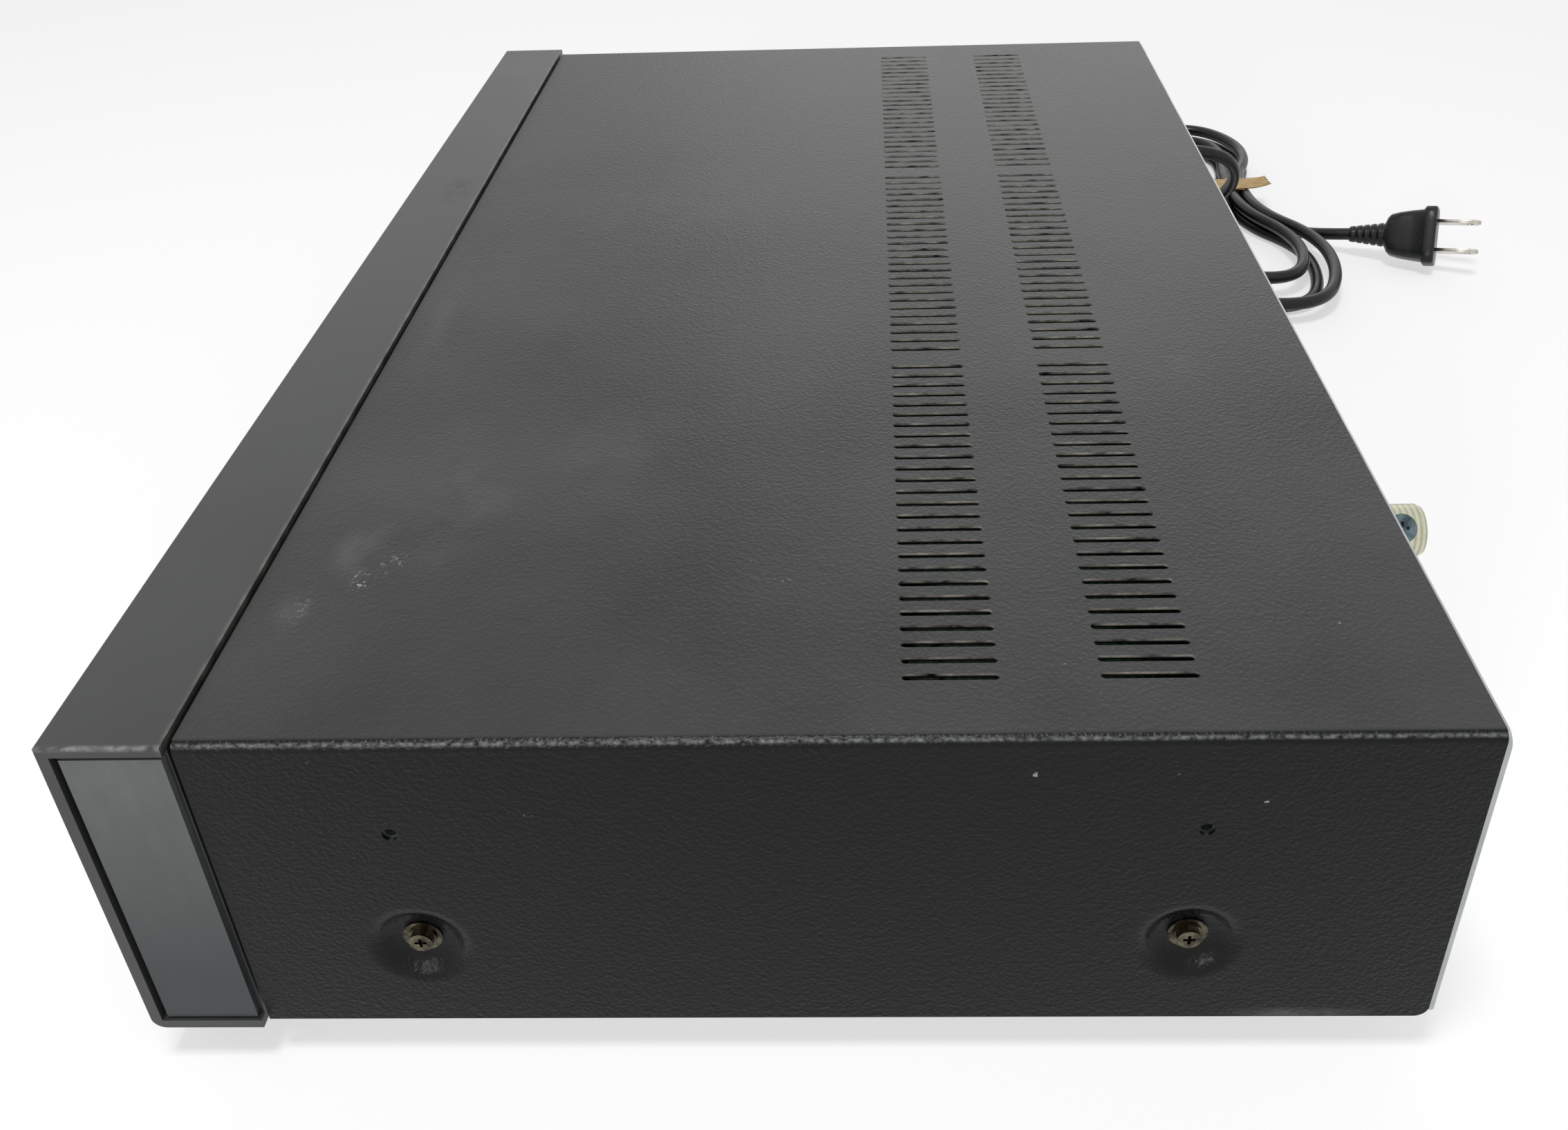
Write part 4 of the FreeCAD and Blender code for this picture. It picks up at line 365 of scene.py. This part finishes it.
# turned contacts under bright nickel, set in matt black moulded housings and optical ports
def socketSet(firstPort=140, panelBack=139.6):
    made, tree, surface, where = startMaterial("nickel plated contacts in moulded black housings")
    haze = clouds(tree, where, 5)
    bright = addNode(tree, "ValToRGB", {"Fac": haze}, stops=[(0.0, "#cfccc3"), (1.0, "#9d978a")])
    place = {axis: addNode(tree, "SeparateXYZ", {"Vector": where}, out=axis) for axis in "XY"}
    metal = addNode(tree, "Math", {0: place["X"], 1: firstPort * mm}, operation="LESS_THAN")
    outside = addNode(tree, "Math", {0: place["Y"], 1: panelBack * mm}, operation="GREATER_THAN")
    metal = addNode(tree, "Math", {0: metal, 1: outside}, operation="MULTIPLY")
    colour = addNode(tree, "Mix", {0: metal, 6: linear("#1b1c1d"), 7: bright}, out=2, data_type="RGBA")
    rough = addNode(tree, "MapRange", {"Value": metal, "To Min": 0.5, "To Max": 0.24})
    fine = clouds(tree, where, 0.8, 0, 1, 2)
    finishSurface(tree, surface, colour, rough, fine, 0.02, {"Metallic": metal})
    return made


even = (1, 1, 1)
finish = {
    "cover": grainedPaintMaterial(grainedPaint),
    "bezel": bezelPlastic(),
    "trim": lacqueredTrim(),
    "key": mouldedPlastic("satin moulded ABS keys", "#2a2b2f", "#34353a", 0.38),
    "knob": mouldedPlastic("fine moulded ABS knobs", "#222327", "#2a2b2f", 0.34),
    "black": mouldedPlastic("matt moulded black ABS", "#191a1b", "#232425", 0.55, 0.8, 0.05, 0.3),
    "zinc": platedMetal("zinc plated steel sheet", "#b4b7b8", "#9fa3a5", 0.36, cloud=9),
    "screw": platedMetal("dark nickel plated screws", "#6f6857", "#221f1a", 0.18, 0.5, even, 0.02, 2.2),
    "blueScrew": platedMetal("blue passivated zinc screw", "#7b8d94", "#3b464d", 0.22, 0.5, even, 0.02, 3),
    "post": turnedMetal("turned post under yellowish zinc plate", "#cbcab6", "#a9a890"),
    "brass": turnedMetal("turned brass", "#cfae67", "#8f7034"),
    "rod": platedMetal("ground steel rod", "#d8d8d5", "#b3b3b0", 0.16),
    "blade": platedMetal("nickel plated brass blades", "#cfccc3", "#9d978a", 0.22, 0.8, even, 0.01, 5),
    "cast": platedMetal("die cast zinc", "#94979a", "#74777a", 0.46, 1.5, even, 0.05, 6),
    "cord": cordVinyl(),
    "tape": crepedTape(),
    "window": smokedAcrylic(),
    "board": circuitBoard(),
    "core": laminations(),
    "sockets": socketSet(),
    "acetal": mouldedPlastic("moulded white acetal", "#d2d2cb", "#e0e0da", 0.4),
    "rubber": mouldedPlastic("moulded black rubber", "#151617", "#26272a", 0.7, 0.7, 0.06, 0.25),
    "felt": mouldedPlastic("pressed dark felt", "#232324", "#38383a", 0.95, 0.5, 0.2, 0.1),
    "ink": mouldedPlastic("pale screen printing ink", "#a9adb1", "#bfc2c5", 0.6, 1, 0.01, 0.3),
    "phosphor": mouldedPlastic("unlit display phosphor", "#2c3c3a", "#364846", 0.3, 1, 0.01, 0.5),
    "white": mouldedPlastic("white polypropylene", "#d0d0ca", "#e2e2dd", 0.42),
    "red": mouldedPlastic("red polypropylene", "#98201c", "#b02c25", 0.42),
    "orange": mouldedPlastic("orange polypropylene", "#bd5f1a", "#d27524", 0.42),
}

nodeFinish = {
    "cover": "top_cover", "trim": "side_trims",
    "bezel": "front_panel tray_front",
    "screw": "cover_screws", "blueScrew": "rear_post_screw", "post": "rear_post",
    "window": "display_window display_module",
    "black": "feet phones_socket disc_tray loader_frame disc_clamper lift_frame cord_gland front_switches",
    "key": "power_button open_button play_button pause_button stop_button skip_rocker record_button"
           " finalize_button erase_button input_button",
    "knob": "record_level_knob phones_level_knob", "board": "front_board main_board power_board",
    "core": "transformer",
    "zinc": "chassis_base rear_panel foot_screws clamp_bridge traverse_plate loader_motor spindle_motor"
            " sled_motor",
    "rubber": "drive_belt traverse_dampers turntable", "felt": "foot_pads", "brass": "motor_pulley",
    "acetal": "pulley_gear tray_gear cam_slider", "cast": "optical_pickup", "rod": "guide_rods lead_screw",
    "blade": "plug_blades", "sockets": "line_jacks digital_jacks", "tape": "cord_tie",
    "cord": "plug_body power_cord cord_hank cord_tail",
}
for key, names in nodeFinish.items():
    for name in names.split():
        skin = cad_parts[name].data.materials
        skin.clear()
        skin.append(finish[key])
print("finishes on", sum(len(names.split()) for names in nodeFinish.values()), "solids")


# puts a mesh in the scene, points in millimetres in the part's own frame
def addPiece(name, points, faces, key, body="casing", slotName=None, smooth=False, stands=()):
    mesh = bpy.data.meshes.new(name)
    mesh.from_pydata([Vector(p) * mm for p in points], [], faces)
    mesh.validate()
    skin = bmesh.new()
    skin.from_mesh(mesh)
    bmesh.ops.recalc_face_normals(skin, faces=skin.faces)
    skin.to_mesh(mesh)
    skin.free()
    mesh.materials.append(finish[key])
    for face in mesh.polygons:
        face.use_smooth = smooth
    piece = bpy.data.objects.new(name, mesh)
    scene.collection.objects.link(piece)
    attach(piece, body)
    if stands:
        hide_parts(*stands)
    return piece


# a skin over a row of closed rings with the same number of points, with both ends shut
def skinRings(rings):
    around = len(rings[0])
    faces = [list(range(around))[::-1], [(len(rings) - 1) * around + i for i in range(around)]]
    for level in range(len(rings) - 1):
        low = level * around
        for i in range(around):
            after = (i + 1) % around
            faces.append([low + i, low + after, low + around + after, low + around + i])
    return [p for ring in rings for p in ring], faces


mainsCord = {
    "thick": 5.4,
    "fromGland": [
        (-192, 160.4, 52), (-192, 174.3, 50.5), (-196.5, 184, 41.5), (-207, 186, 28.5), (-219, 181.5, 16.5),
        (-229, 181.5, 11), (-240, 183.1, 9.9),
    ],
    "tie": (-247, 192.4, 0),
    "layers": (3.7, 9.9),
    "strand": 6.2,
    "waist": 7,
    # side, widest place, half widths going out and coming back, reach, layer, places across the tie
    "turns": [
        (-1, 48, 28, 28, 84, 1, -1.5, 1.5), (1, 74, 31, 30, 122, 1, 1.5, -0.5),
        (-1, 48, 16.6, 16.6, 67, 1, -0.5, 0.5), (1, 70, 20, 20, 97, 1, 0.5, -0.5),
        (-1, 48, 16.6, 16.6, 67, 0, -0.5, 0.5), (1, 72, 25, 33, 112, 0, 0.5, -1.5),
        (-1, 48, 28, 28, 84, 0, -1.5, 1.5),
    ],
    "stepsDown": 3,  # the turn that comes home a layer lower
    "lean": -9,  # how far the far loops lie back towards the rear panel
    "toPlug": [
        (-236.2, 201.7, 3.7), (-228, 203.4, 3.7), (-219.5, 208.4, 3.7), (-211, 214.9, 4.2),
        (-203, 221.4, 6.4), (-196, 228.6, 8.9), (-191.8, 237.6, 10.6),
    ],
    "length": 1.66,
}


# the tied loops' control points: each turn's places and headings, with two points between each pair
def hankPoints(facts):
    step, waist, levels = facts["strand"], facts["waist"], facts["layers"]
    points = []
    for i, (side, wideAt, enter, leave, reach, layer, crossing, back) in enumerate(facts["turns"]):
        level, sign = levels[layer], -1 if crossing < 0 else 1
        lean = facts["lean"] if side < 0 else 0
        out, home = Vector((side, 0, 0)), Vector((-side, 0, 0))
        stations = [
            ((side * waist, crossing * step, level), out),
            ((side * wideAt, sign * enter + lean, level), out),
            ((side * reach, lean, level), Vector((0, -sign, 0))),
            ((side * wideAt, -sign * leave + lean, level), home),
            ((side * waist, back * step, level), home),
        ]
        if i == facts["stepsDown"]:
            low = levels[0]
            down = (wideAt / 2 + 4, -sign * leave * 0.42, low)
            stations[4:] = [(down, home), ((side * waist, back * step, low), home)]
        for (start, way), (stop, stopWay) in zip(stations, stations[1:]):
            chord, both = Vector(stop) - Vector(start), way + stopWay
            slack = 2 * (1 - way.dot(stopWay))
            if slack < 1e-9:
                pull = chord.dot(chord) / (4 * chord.dot(stopWay))
            else:
                pull = (math.sqrt(chord.dot(both) ** 2 + slack * chord.dot(chord)) - chord.dot(both)) / slack
            points += [Vector(start) + way * pull, Vector(stop) - stopWay * pull]
    return [Vector(facts["tie"]) + p for p in points]


def layCord(facts):
    line = bpy.data.curves.new("mainsCord", "CURVE")
    line.dimensions = "3D"
    spline = line.splines.new("NURBS")
    before, after = ([Vector(p) for p in facts[part]] for part in ("fromGland", "toPlug"))
    points = before + hankPoints(facts) + after
    spline.points.add(len(points) - 1)
    for spot, point in zip(spline.points, points):
        spot.co = (*(point * mm), 1)
    spline.order_u = 3
    spline.use_endpoint_u = True
    spline.resolution_u = 10
    line.bevel_depth = facts["thick"] / 2 * mm
    line.bevel_resolution = 5
    line.use_fill_caps = True
    line.materials.append(finish["cord"])
    cord = bpy.data.objects.new("mainsCord", line)
    scene.collection.objects.link(cord)
    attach(cord, "casing")
    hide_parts("power_cord", "cord_hank", "cord_tail")


plug = {
    "place": (-191.8, 237.6, 10.6),
    "turn": (58, 8, -25),  # about Y, X and Z, in degrees
    "relief": {"from": 0, "to": 15, "thin": 3.4, "thick": 5.4, "groove": 0.7, "ribs": 5},
    "grip": [  # how far along, width, height, squareness
        (15.4, 11.6, 10.4, 2.4), (16.2, 15.4, 11.6, 3.2), (17.6, 18.0, 12.4, 4.0), (21, 19.8, 12.8, 4.6),
        (26, 21.4, 13.2, 4.8), (31.0, 22.6, 13.6, 5.0), (31.6, 25.0, 14.8, 4.8), (32.2, 25.7, 15.2, 4.8),
        (35.8, 25.7, 15.2, 4.8), (36.4, 24.9, 14.5, 4.6),
    ],
    "bladeApart": 6.35,
    "blade": {
        "from": 33, "to": 53.8, "wide": 6.3, "thick": 1.5, "edge": 0.2, "hole": 1.6, "holeFromTip": 4.2,
    },
}


def plugFrame(facts):
    aboutY, aboutX, aboutZ = (math.radians(a) for a in facts["turn"])
    spin = Matrix.Rotation(aboutZ, 4, "Z") @ Matrix.Rotation(aboutX, 4, "X") @ Matrix.Rotation(aboutY, 4, "Y")
    return Matrix.Translation(Vector(facts["place"])) @ spin


def ovalRing(y, wide, high, squareness, around):
    ring = []
    for i in range(around):
        angle = math.tau * i / around
        c, s = math.cos(angle), math.sin(angle)
        x = math.copysign(abs(c) ** (2 / squareness), c) * wide / 2
        z = math.copysign(abs(s) ** (2 / squareness), s) * high / 2
        ring.append(Vector((x, y, z)))
    return ring


def makePlug(facts, around=48):
    spin = plugFrame(facts)
    relief = facts["relief"]
    rings = []
    long = relief["to"] - relief["from"]
    for rib in range(relief["ribs"]):
        for part, cut in ((0.0, 1), (0.12, 0), (0.7, 0), (0.82, 1)):
            share = (rib + part) / relief["ribs"]
            radius = relief["thin"] + (relief["thick"] - relief["thin"]) * share
            radius -= cut * relief["groove"] * (0.3 + 0.7 * share)
            rings.append(ovalRing(relief["from"] + long * share, 2 * radius, 2 * radius, 2, around))
    rings += [ovalRing(*row, around) for row in facts["grip"]]
    points, faces = skinRings([[spin @ p for p in ring] for ring in rings])
    looks = {"key": "cord", "slotName": "cord_vinyl", "smooth": True, "stands": ["plug_body"]}
    body = addPiece("mouldedPlug", points, faces, **looks)
    blade = facts["blade"]
    half, tip = blade["wide"] / 2, blade["to"]
    outline = [(-half, blade["from"]), (half, blade["from"]), (half, tip - 2.2)]
    outline += [(half * 0.62, tip - 0.5), (half * 0.25, tip)]
    outline += [(-u, v) for u, v in outline[:1:-1]]
    turns = [math.tau * i / 20 for i in range(20)]
    radius, middle = blade["hole"], tip - blade["holeFromTip"]
    hole = [(radius * math.sin(a), middle + radius * math.cos(a)) for a in turns]
    outlines = bpy.data.curves.new("mainsBlades", "CURVE")
    outlines.dimensions = "2D"
    outlines.fill_mode = "BOTH"
    outlines.extrude = (blade["thick"] / 2 - blade["edge"]) * mm
    outlines.bevel_depth = blade["edge"] * mm
    outlines.bevel_resolution = 1
    for loop in (outline, hole):
        spline = outlines.splines.new("POLY")
        spline.points.add(len(loop) - 1)
        for spot, (u, v) in zip(spline.points, loop):
            spot.co = (u * mm, v * mm, 0, 1)
        spline.use_cyclic_u = True
    outlines.materials.append(finish["blade"])
    made = []
    for side, name in ((-1, "mainsBladeLeft"), (1, "mainsBladeRight")):
        piece = bpy.data.objects.new(name, outlines.copy())
        aside = Matrix.Translation(Vector((side * facts["bladeApart"], 0, 0)))
        placed = spin @ (aside @ Matrix.Rotation(math.pi / 2, 4, "Y"))
        placed.translation *= mm
        piece.matrix_world = placed
        scene.collection.objects.link(piece)
        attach(piece, "casing")
        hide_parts("plug_blades")
        made.append(piece)
    return [body] + made


cordTie = {
    "from": (-253.0, 179.5, 0.1), "to": (-241.0, 205.3, 13.5),  # the band's corners, 12 mm of tape wide
    "tape": 0.5, "ripple": 0.35, "sway": 0.35,
    "flag": {"from": 194, "to": 213.4, "level": 13.4, "lift": 2.2, "steps": 14},  # the tape's loose end
}


def makeTie(facts, around=72, across=9):
    low, high = Vector(facts["from"]), Vector(facts["to"])
    middle, half = (low + high) / 2, (high - low) / 2
    outer, inner = [], []
    for j in range(across):
        x = low.x + (high.x - low.x) * j / (across - 1)
        sway = facts["sway"] * (1 - abs(2 * j / (across - 1) - 1))
        for wall, inset in ((outer, 0), (inner, facts["tape"])):
            for i in range(around):
                angle = math.tau * i / around
                c, s = math.cos(angle), math.sin(angle)
                ripple = facts["ripple"] * (0.5 + 0.5 * math.sin(5 * angle + 0.9 * j))
                pull = inset + (ripple if s > -0.5 else 0)
                wall.append(Vector((
                    x + sway * math.sin(3 * angle + 1),
                    middle.y + math.copysign(abs(c) ** 0.62, c) * (half.y - pull),
                    middle.z + math.copysign(abs(s) ** 0.7, s) * (half.z - pull),
                )))
    faces, shift = [], len(outer)
    for j in range(across - 1):
        for i in range(around):
            after = (i + 1) % around
            face = [j * around + i, j * around + after, (j + 1) * around + after, (j + 1) * around + i]
            faces += [face, [shift + v for v in face[::-1]]]
    for i in range(around):
        after, last = (i + 1) % around, (across - 1) * around
        faces.append([i, shift + i, shift + after, after])
        faces.append([last + after, shift + last + after, shift + last + i, last + i])
    flag, slices = facts["flag"], []
    for j in range(across):
        x, top = low.x + (high.x - low.x) * j / (across - 1), []
        for i in range(flag["steps"] + 1):
            share = i / flag["steps"]
            y = flag["from"] + (flag["to"] - flag["from"] - 1.6 * (j % 2)) * share
            rise = flag["lift"] * max(0, share - 0.5) ** 2 * 4 * (0.55 + 0.45 * j / (across - 1))
            top.append(Vector((x, y, flag["level"] + rise + 0.15 * share * math.sin(2.1 * j + 5 * share))))
        slices.append(top + [p - Vector((0, 0, facts["tape"])) for p in top[::-1]])
    points, sides = skinRings(slices)
    faces += [[2 * shift + v for v in side] for side in sides]
    points = outer + inner + points
    return addPiece("cordTie", points, faces, "tape", slotName="tie_paper", smooth=True, stands=["cord_tie"])


onCord = makePlug(plug) + [makeTie(cordTie)]
layCord(mainsCord)
print("cord, plug and tie laid")


knobs = {
    "recordLevelKnob": {
        "centre": (182, 60), "face": -150.6, "foot": -139.2, "shaft": 20.1, "radius": 15,
        "flutes": 54, "deep": 0.45, "edge": 1.2, "dish": 0.5, "pointer": (6.2, 12, 0.9),
        "body": "record_level", "stands": "record_level_knob",
    },
    "phonesLevelKnob": {
        "centre": (-160, 31), "face": -148.6, "foot": -139.2, "shaft": 20.1, "radius": 8,
        "flutes": 32, "deep": 0.35, "edge": 0.8, "dish": 0.3, "pointer": (2.2, 5.4, 0.7),
        "body": "phones_level", "stands": "phones_level_knob",
    },
}


def makeKnob(name, facts):
    across, up = facts["centre"]
    face, foot, radius, edge = facts["face"], facts["foot"], facts["radius"], facts["edge"]
    around = facts["flutes"] * 4
    grip = radius - edge
    rows = [  # radius, place along, share of the fluting
        (2.9, foot + facts["shaft"], 0), (2.9, foot, 0), (radius - 0.5, foot, 0), (radius, foot - 0.4, 0),
        (radius, foot - 1.4, 0), (radius, foot - 1.9, 1), (radius - 0.15, face + edge + 0.4, 1),
        (radius - 0.3, face + edge, 0.4), (grip + 0.35 * edge, face + 0.25 * edge, 0), (grip, face, 0),
        (grip - 0.8, face + 0.08, 0), (grip - 1.6, face + facts["dish"], 0), (0.6, face + facts["dish"], 0),
    ]
    rings = []
    for r, y, fluted in rows:
        ring = []
        for i in range(around):
            angle = math.tau * i / around
            away = r - fluted * facts["deep"] * (0.5 - 0.5 * math.cos(angle * facts["flutes"]))
            ring.append((across + away * math.sin(angle), y, up + away * math.cos(angle)))
        rings.append(ring)
    points, faces = skinRings(rings)
    addPiece(name, points, faces, "knob", facts["body"], "knob_plastic", stands=[facts["stands"]])
    near, far, wide = facts["pointer"]
    level = face + facts["dish"]
    ends = [(-wide / 2, near), (wide / 2, near), (wide / 2, far), (-wide / 2, far)]
    levels = (level + 0.1, level - 0.12)
    points, faces = skinRings([[(across + u, y, up + v) for u, v in ends] for y in levels])
    addPiece(name + "Pointer", points, faces, "ink", facts["body"], "white_plastic")


for name, facts in knobs.items():
    makeKnob(name, facts)
print("knobs turned")


marks = {"thick": 0.12, "sunk": 0.05, "keyFace": -139.8, "bezelFace": -138.6}


def disc(x, z, radius, count=28):
    turns = [math.tau * i / count for i in range(count)]
    return [(x + radius * math.sin(t), z + radius * math.cos(t)) for t in turns]


def bar(x, z, wide, high, lean=0):
    low, top, half = z - high / 2, z + high / 2, wide / 2
    return [(x - half - lean, low), (x + half - lean, low), (x + half + lean, top), (x - half + lean, top)]


def arrow(x, z, size, way):
    ahead, aside = way * size * 0.5, size * 0.58
    return [(x - ahead, z - aside), (x + ahead, z), (x - ahead, z + aside)]


def arc(x, z, radius, wide, start, stop, count=26):
    turns = [math.radians(start + (stop - start) * i / count) for i in range(count + 1)]
    sides = ((radius + wide / 2, turns), (radius - wide / 2, turns[::-1]))
    return [(x + away * math.sin(t), z + away * math.cos(t)) for away, row in sides for t in row]


# raised print: each outline, in X and Z, stands a hair proud of the face at y
def printMarks(name, outlines, y, key="ink", body="casing", facing=-1, slotName="white_plastic"):
    points, faces = [], []
    for outline in outlines:
        levels = (y - facing * marks["sunk"], y + facing * marks["thick"])
        rings = [[(x, level, z) for x, z in outline] for level in levels]
        more, sides = skinRings(rings)
        faces += [[len(points) + v for v in side] for side in sides]
        points += more
    return addPiece(name, points, faces, key, body, slotName)


keyMarks = {
    "power_button": [arc(-180, 76.6, 2.7, 0.6, 32, 328), bar(-180, 78.6, 0.6, 3.2)],
    "open_button": [[(-2.6, 48.8), (2.6, 48.8), (0, 51.6)], bar(0, 47.3, 5.2, 1.0)],
    "play_button": [arrow(-104, 49, 4.4, 1)],
    "pause_button": [bar(-69.3, 49, 1.2, 4.4), bar(-66.7, 49, 1.2, 4.4)],
    "stop_button": [bar(-36, 49, 3.9, 3.9)],
    "skip_rocker": [
        arrow(-114.2, 29, 3.2, -1), arrow(-111, 29, 3.2, -1), bar(-116.3, 29, 0.7, 3.6),
        arrow(-73, 29, 3.2, 1), arrow(-69.8, 29, 3.2, 1), bar(-67.7, 29, 0.7, 3.6),
    ],
    "record_button": [disc(54, 35, 2.1)],
}
for node, outlines in keyMarks.items():
    key = "red" if node == "record_button" else "ink"
    printMarks(node.split("_")[0] + "Mark", outlines, marks["keyFace"], key, node)

dials = {
    "recordLevelTicks": {"centre": (182, 60), "inner": 16.5, "outer": 17.8, "wide": 0.45},
    "phonesLevelTicks": {"centre": (-160, 31), "inner": 9.4, "outer": 10.8, "wide": 0.4},
}
dialScale = {"steps": 11, "sweep": 150, "main": 5, "longer": 0.7}  # every fifth tick is longer


def dialTicks(facts):
    middle = Vector(facts["centre"])
    lines = []
    steps, sweep = dialScale["steps"], dialScale["sweep"]
    for i in range(steps):
        turn = math.radians(-sweep + 2 * sweep * i / (steps - 1))
        along = Vector((math.sin(turn), math.cos(turn)))
        beside = Vector((along.y, -along.x)) * facts["wide"] / 2
        reach = facts["outer"] + (dialScale["longer"] if i % dialScale["main"] == 0 else 0)
        inner, outer = middle + along * facts["inner"], middle + along * reach
        lines.append([tuple(p) for p in (inner - beside, outer - beside, outer + beside, inner + beside)])
    return lines


for name, facts in dials.items():
    printMarks(name, dialTicks(facts), marks["bezelFace"])


# numbers at the ends and the middle of the record level's scale
def number(name, text, x, z, size):
    letters = bpy.data.curves.new(name, "FONT")
    letters.body = text
    letters.size = size * mm
    letters.align_x, letters.align_y = "CENTER", "CENTER"
    letters.extrude = marks["thick"] / 2 * mm
    letters.resolution_u = 4
    letters.materials.append(finish["ink"])
    piece = bpy.data.objects.new(name, letters)
    place = Vector((x, marks["bezelFace"] - marks["thick"] / 2, z)) * mm
    piece.matrix_world = Matrix.Translation(place) @ Matrix.Rotation(math.pi / 2, 4, "X")
    scene.collection.objects.link(piece)
    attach(piece, "casing")


for text, x, z in (("0", 168.4, 44.3), ("5", 182, 81.4), ("10", 196.2, 44.3)):
    number("levelNumber" + text, text, x, z, 3.4)

display = {
    "face": -138.4, "digits": [58, 68, 82, 92, 106, 116], "foot": 66, "tall": 12, "wide": 6.4, "bar": 1.1,
    "rows": (57.4, 60.8), "bars": 34, "pitch": 3.1, "firstBar": 44,
}


# unlit segments: six digits and two rows of level bars, faint behind the window
def displaySegments(facts):
    shapes = []
    foot, tall, wide, thick = facts["foot"], facts["tall"], facts["wide"], facts["bar"]
    for x in facts["digits"]:
        for level in (0, 0.5, 1):
            shapes.append(bar(x + 0.9 * (level - 0.5), foot + tall * level, wide - thick * 1.3, thick))
        for level in (0.25, 0.75):
            for side in (-1, 1):
                across = x + side * (wide / 2 - thick / 2) + 0.9 * (level - 0.5)
                shapes.append(bar(across, foot + tall * level, thick, tall / 2 - thick * 1.2, 0.2))
    for z in facts["rows"]:
        shapes += [bar(facts["firstBar"] + facts["pitch"] * i, z, 2.3, 1.7) for i in range(facts["bars"])]
    return shapes


printMarks("displaySegments", displaySegments(display), display["face"], "phosphor", slotName="display_glass")
print("front marked")

# coloured insulators: each lies on its socket's collar and shows round the barrel and inside it
sockets = {
    "collar": 141.8, "radius": 4.95,
    "rings": {
        "leftInsulators": ("white", [(71, 52), (89, 52)]), "rightInsulators": ("red", [(71, 36), (89, 36)]),
        "digitalInsulators": ("orange", [(118, 36), (118, 52)]),
    },
}
for name, (key, places) in sockets["rings"].items():
    printMarks(name, [disc(x, z, sockets["radius"]) for x, z in places], sockets["collar"], key, facing=1)
print("sockets ringed")


studio = {
    "floorReach": 4, "paper": 0.86, "glow": 0.55, "paperSeen": 0.46, "roomLight": 0.45,
    "lamps": {
        "overheadSoftbox": {"place": (0.45, -0.1, 1.45), "size": 0.3, "power": 11, "aim": (0, 0, 0)},
        "sideSoftbox": {"place": (1.54, -0.51, 0.6), "size": 0.25, "power": 7, "aim": (0.1, 0, 0.05)},
        "farSoftbox": {"place": (-2.2, 0.3, 1.1), "size": 1.3, "power": 4.2, "aim": (0, 0, 0.05)},
    },
}


# 1 for what the camera, mirrors and glass see, so that what lights the object is set apart from it
def seenRays(tree):
    seen = addNode(tree, "LightPath", out="Is Camera Ray")
    for kind in ("Is Glossy Ray", "Is Transmission Ray"):
        seen = addNode(tree, "Math", {0: seen, 1: addNode(tree, "LightPath", out=kind)}, operation="MAXIMUM")
    return seen


def makeStudio(facts):
    world = bpy.data.worlds.new("paleRoom")
    world.use_nodes = True
    tree = world.node_tree
    tree.nodes.clear()
    strength = {"Value": seenRays(tree), "To Min": facts["roomLight"], "To Max": 1.0}
    strength = addNode(tree, "MapRange", strength)
    sky = addNode(tree, "Background", {"Color": (1, 1, 1, 1), "Strength": strength})
    addNode(tree, "OutputWorld", {"Surface": sky})
    scene.world = world
    reach = facts["floorReach"]
    sheet = bpy.data.meshes.new("studioFloor")
    corners = [(-reach, -reach, 0), (reach, -reach, 0), (reach, reach, 0), (-reach, reach, 0)]
    sheet.from_pydata(corners, [], [(0, 1, 2, 3)])
    paper = bpy.data.materials.new("white paper sweep")
    paper.use_nodes = True
    tree = paper.node_tree
    tree.nodes.clear()
    plain = addNode(tree, "BsdfDiffuse", {"Color": [facts["paper"]] * 3 + [1]})
    shaded = addNode(tree, "BsdfDiffuse", {"Color": [facts["paperSeen"]] * 3 + [1]})
    glow = addNode(tree, "Emission", {"Color": (1, 1, 1, 1), "Strength": facts["glow"]})
    seen = addNode(tree, "AddShader", {0: shaded, 1: glow})
    both = addNode(tree, "MixShader", {0: seenRays(tree), 1: plain, 2: seen})
    addNode(tree, "OutputMaterial", {"Surface": both})
    sheet.materials.append(paper)
    floor = bpy.data.objects.new("studioFloor", sheet)
    scene.collection.objects.link(floor)
    floor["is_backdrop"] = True
    for name, lamp in facts["lamps"].items():
        light = bpy.data.lights.new(name, "AREA")
        light.size = lamp["size"]
        light.energy = lamp["power"]
        holder = bpy.data.objects.new(name, light)
        holder.location = lamp["place"]
        toward = Vector(lamp["aim"]) - Vector(lamp["place"])
        holder.rotation_euler = toward.to_track_quat("-Z", "Y").to_euler()
        scene.collection.objects.link(holder)


makeStudio(studio)
scene.view_settings.view_transform = "Standard"
print("studio lit")

boxes = {"cad": cadBox, "visual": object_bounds()}
boxes = {name: [list(corner) for corner in box] for name, box in boxes.items()}
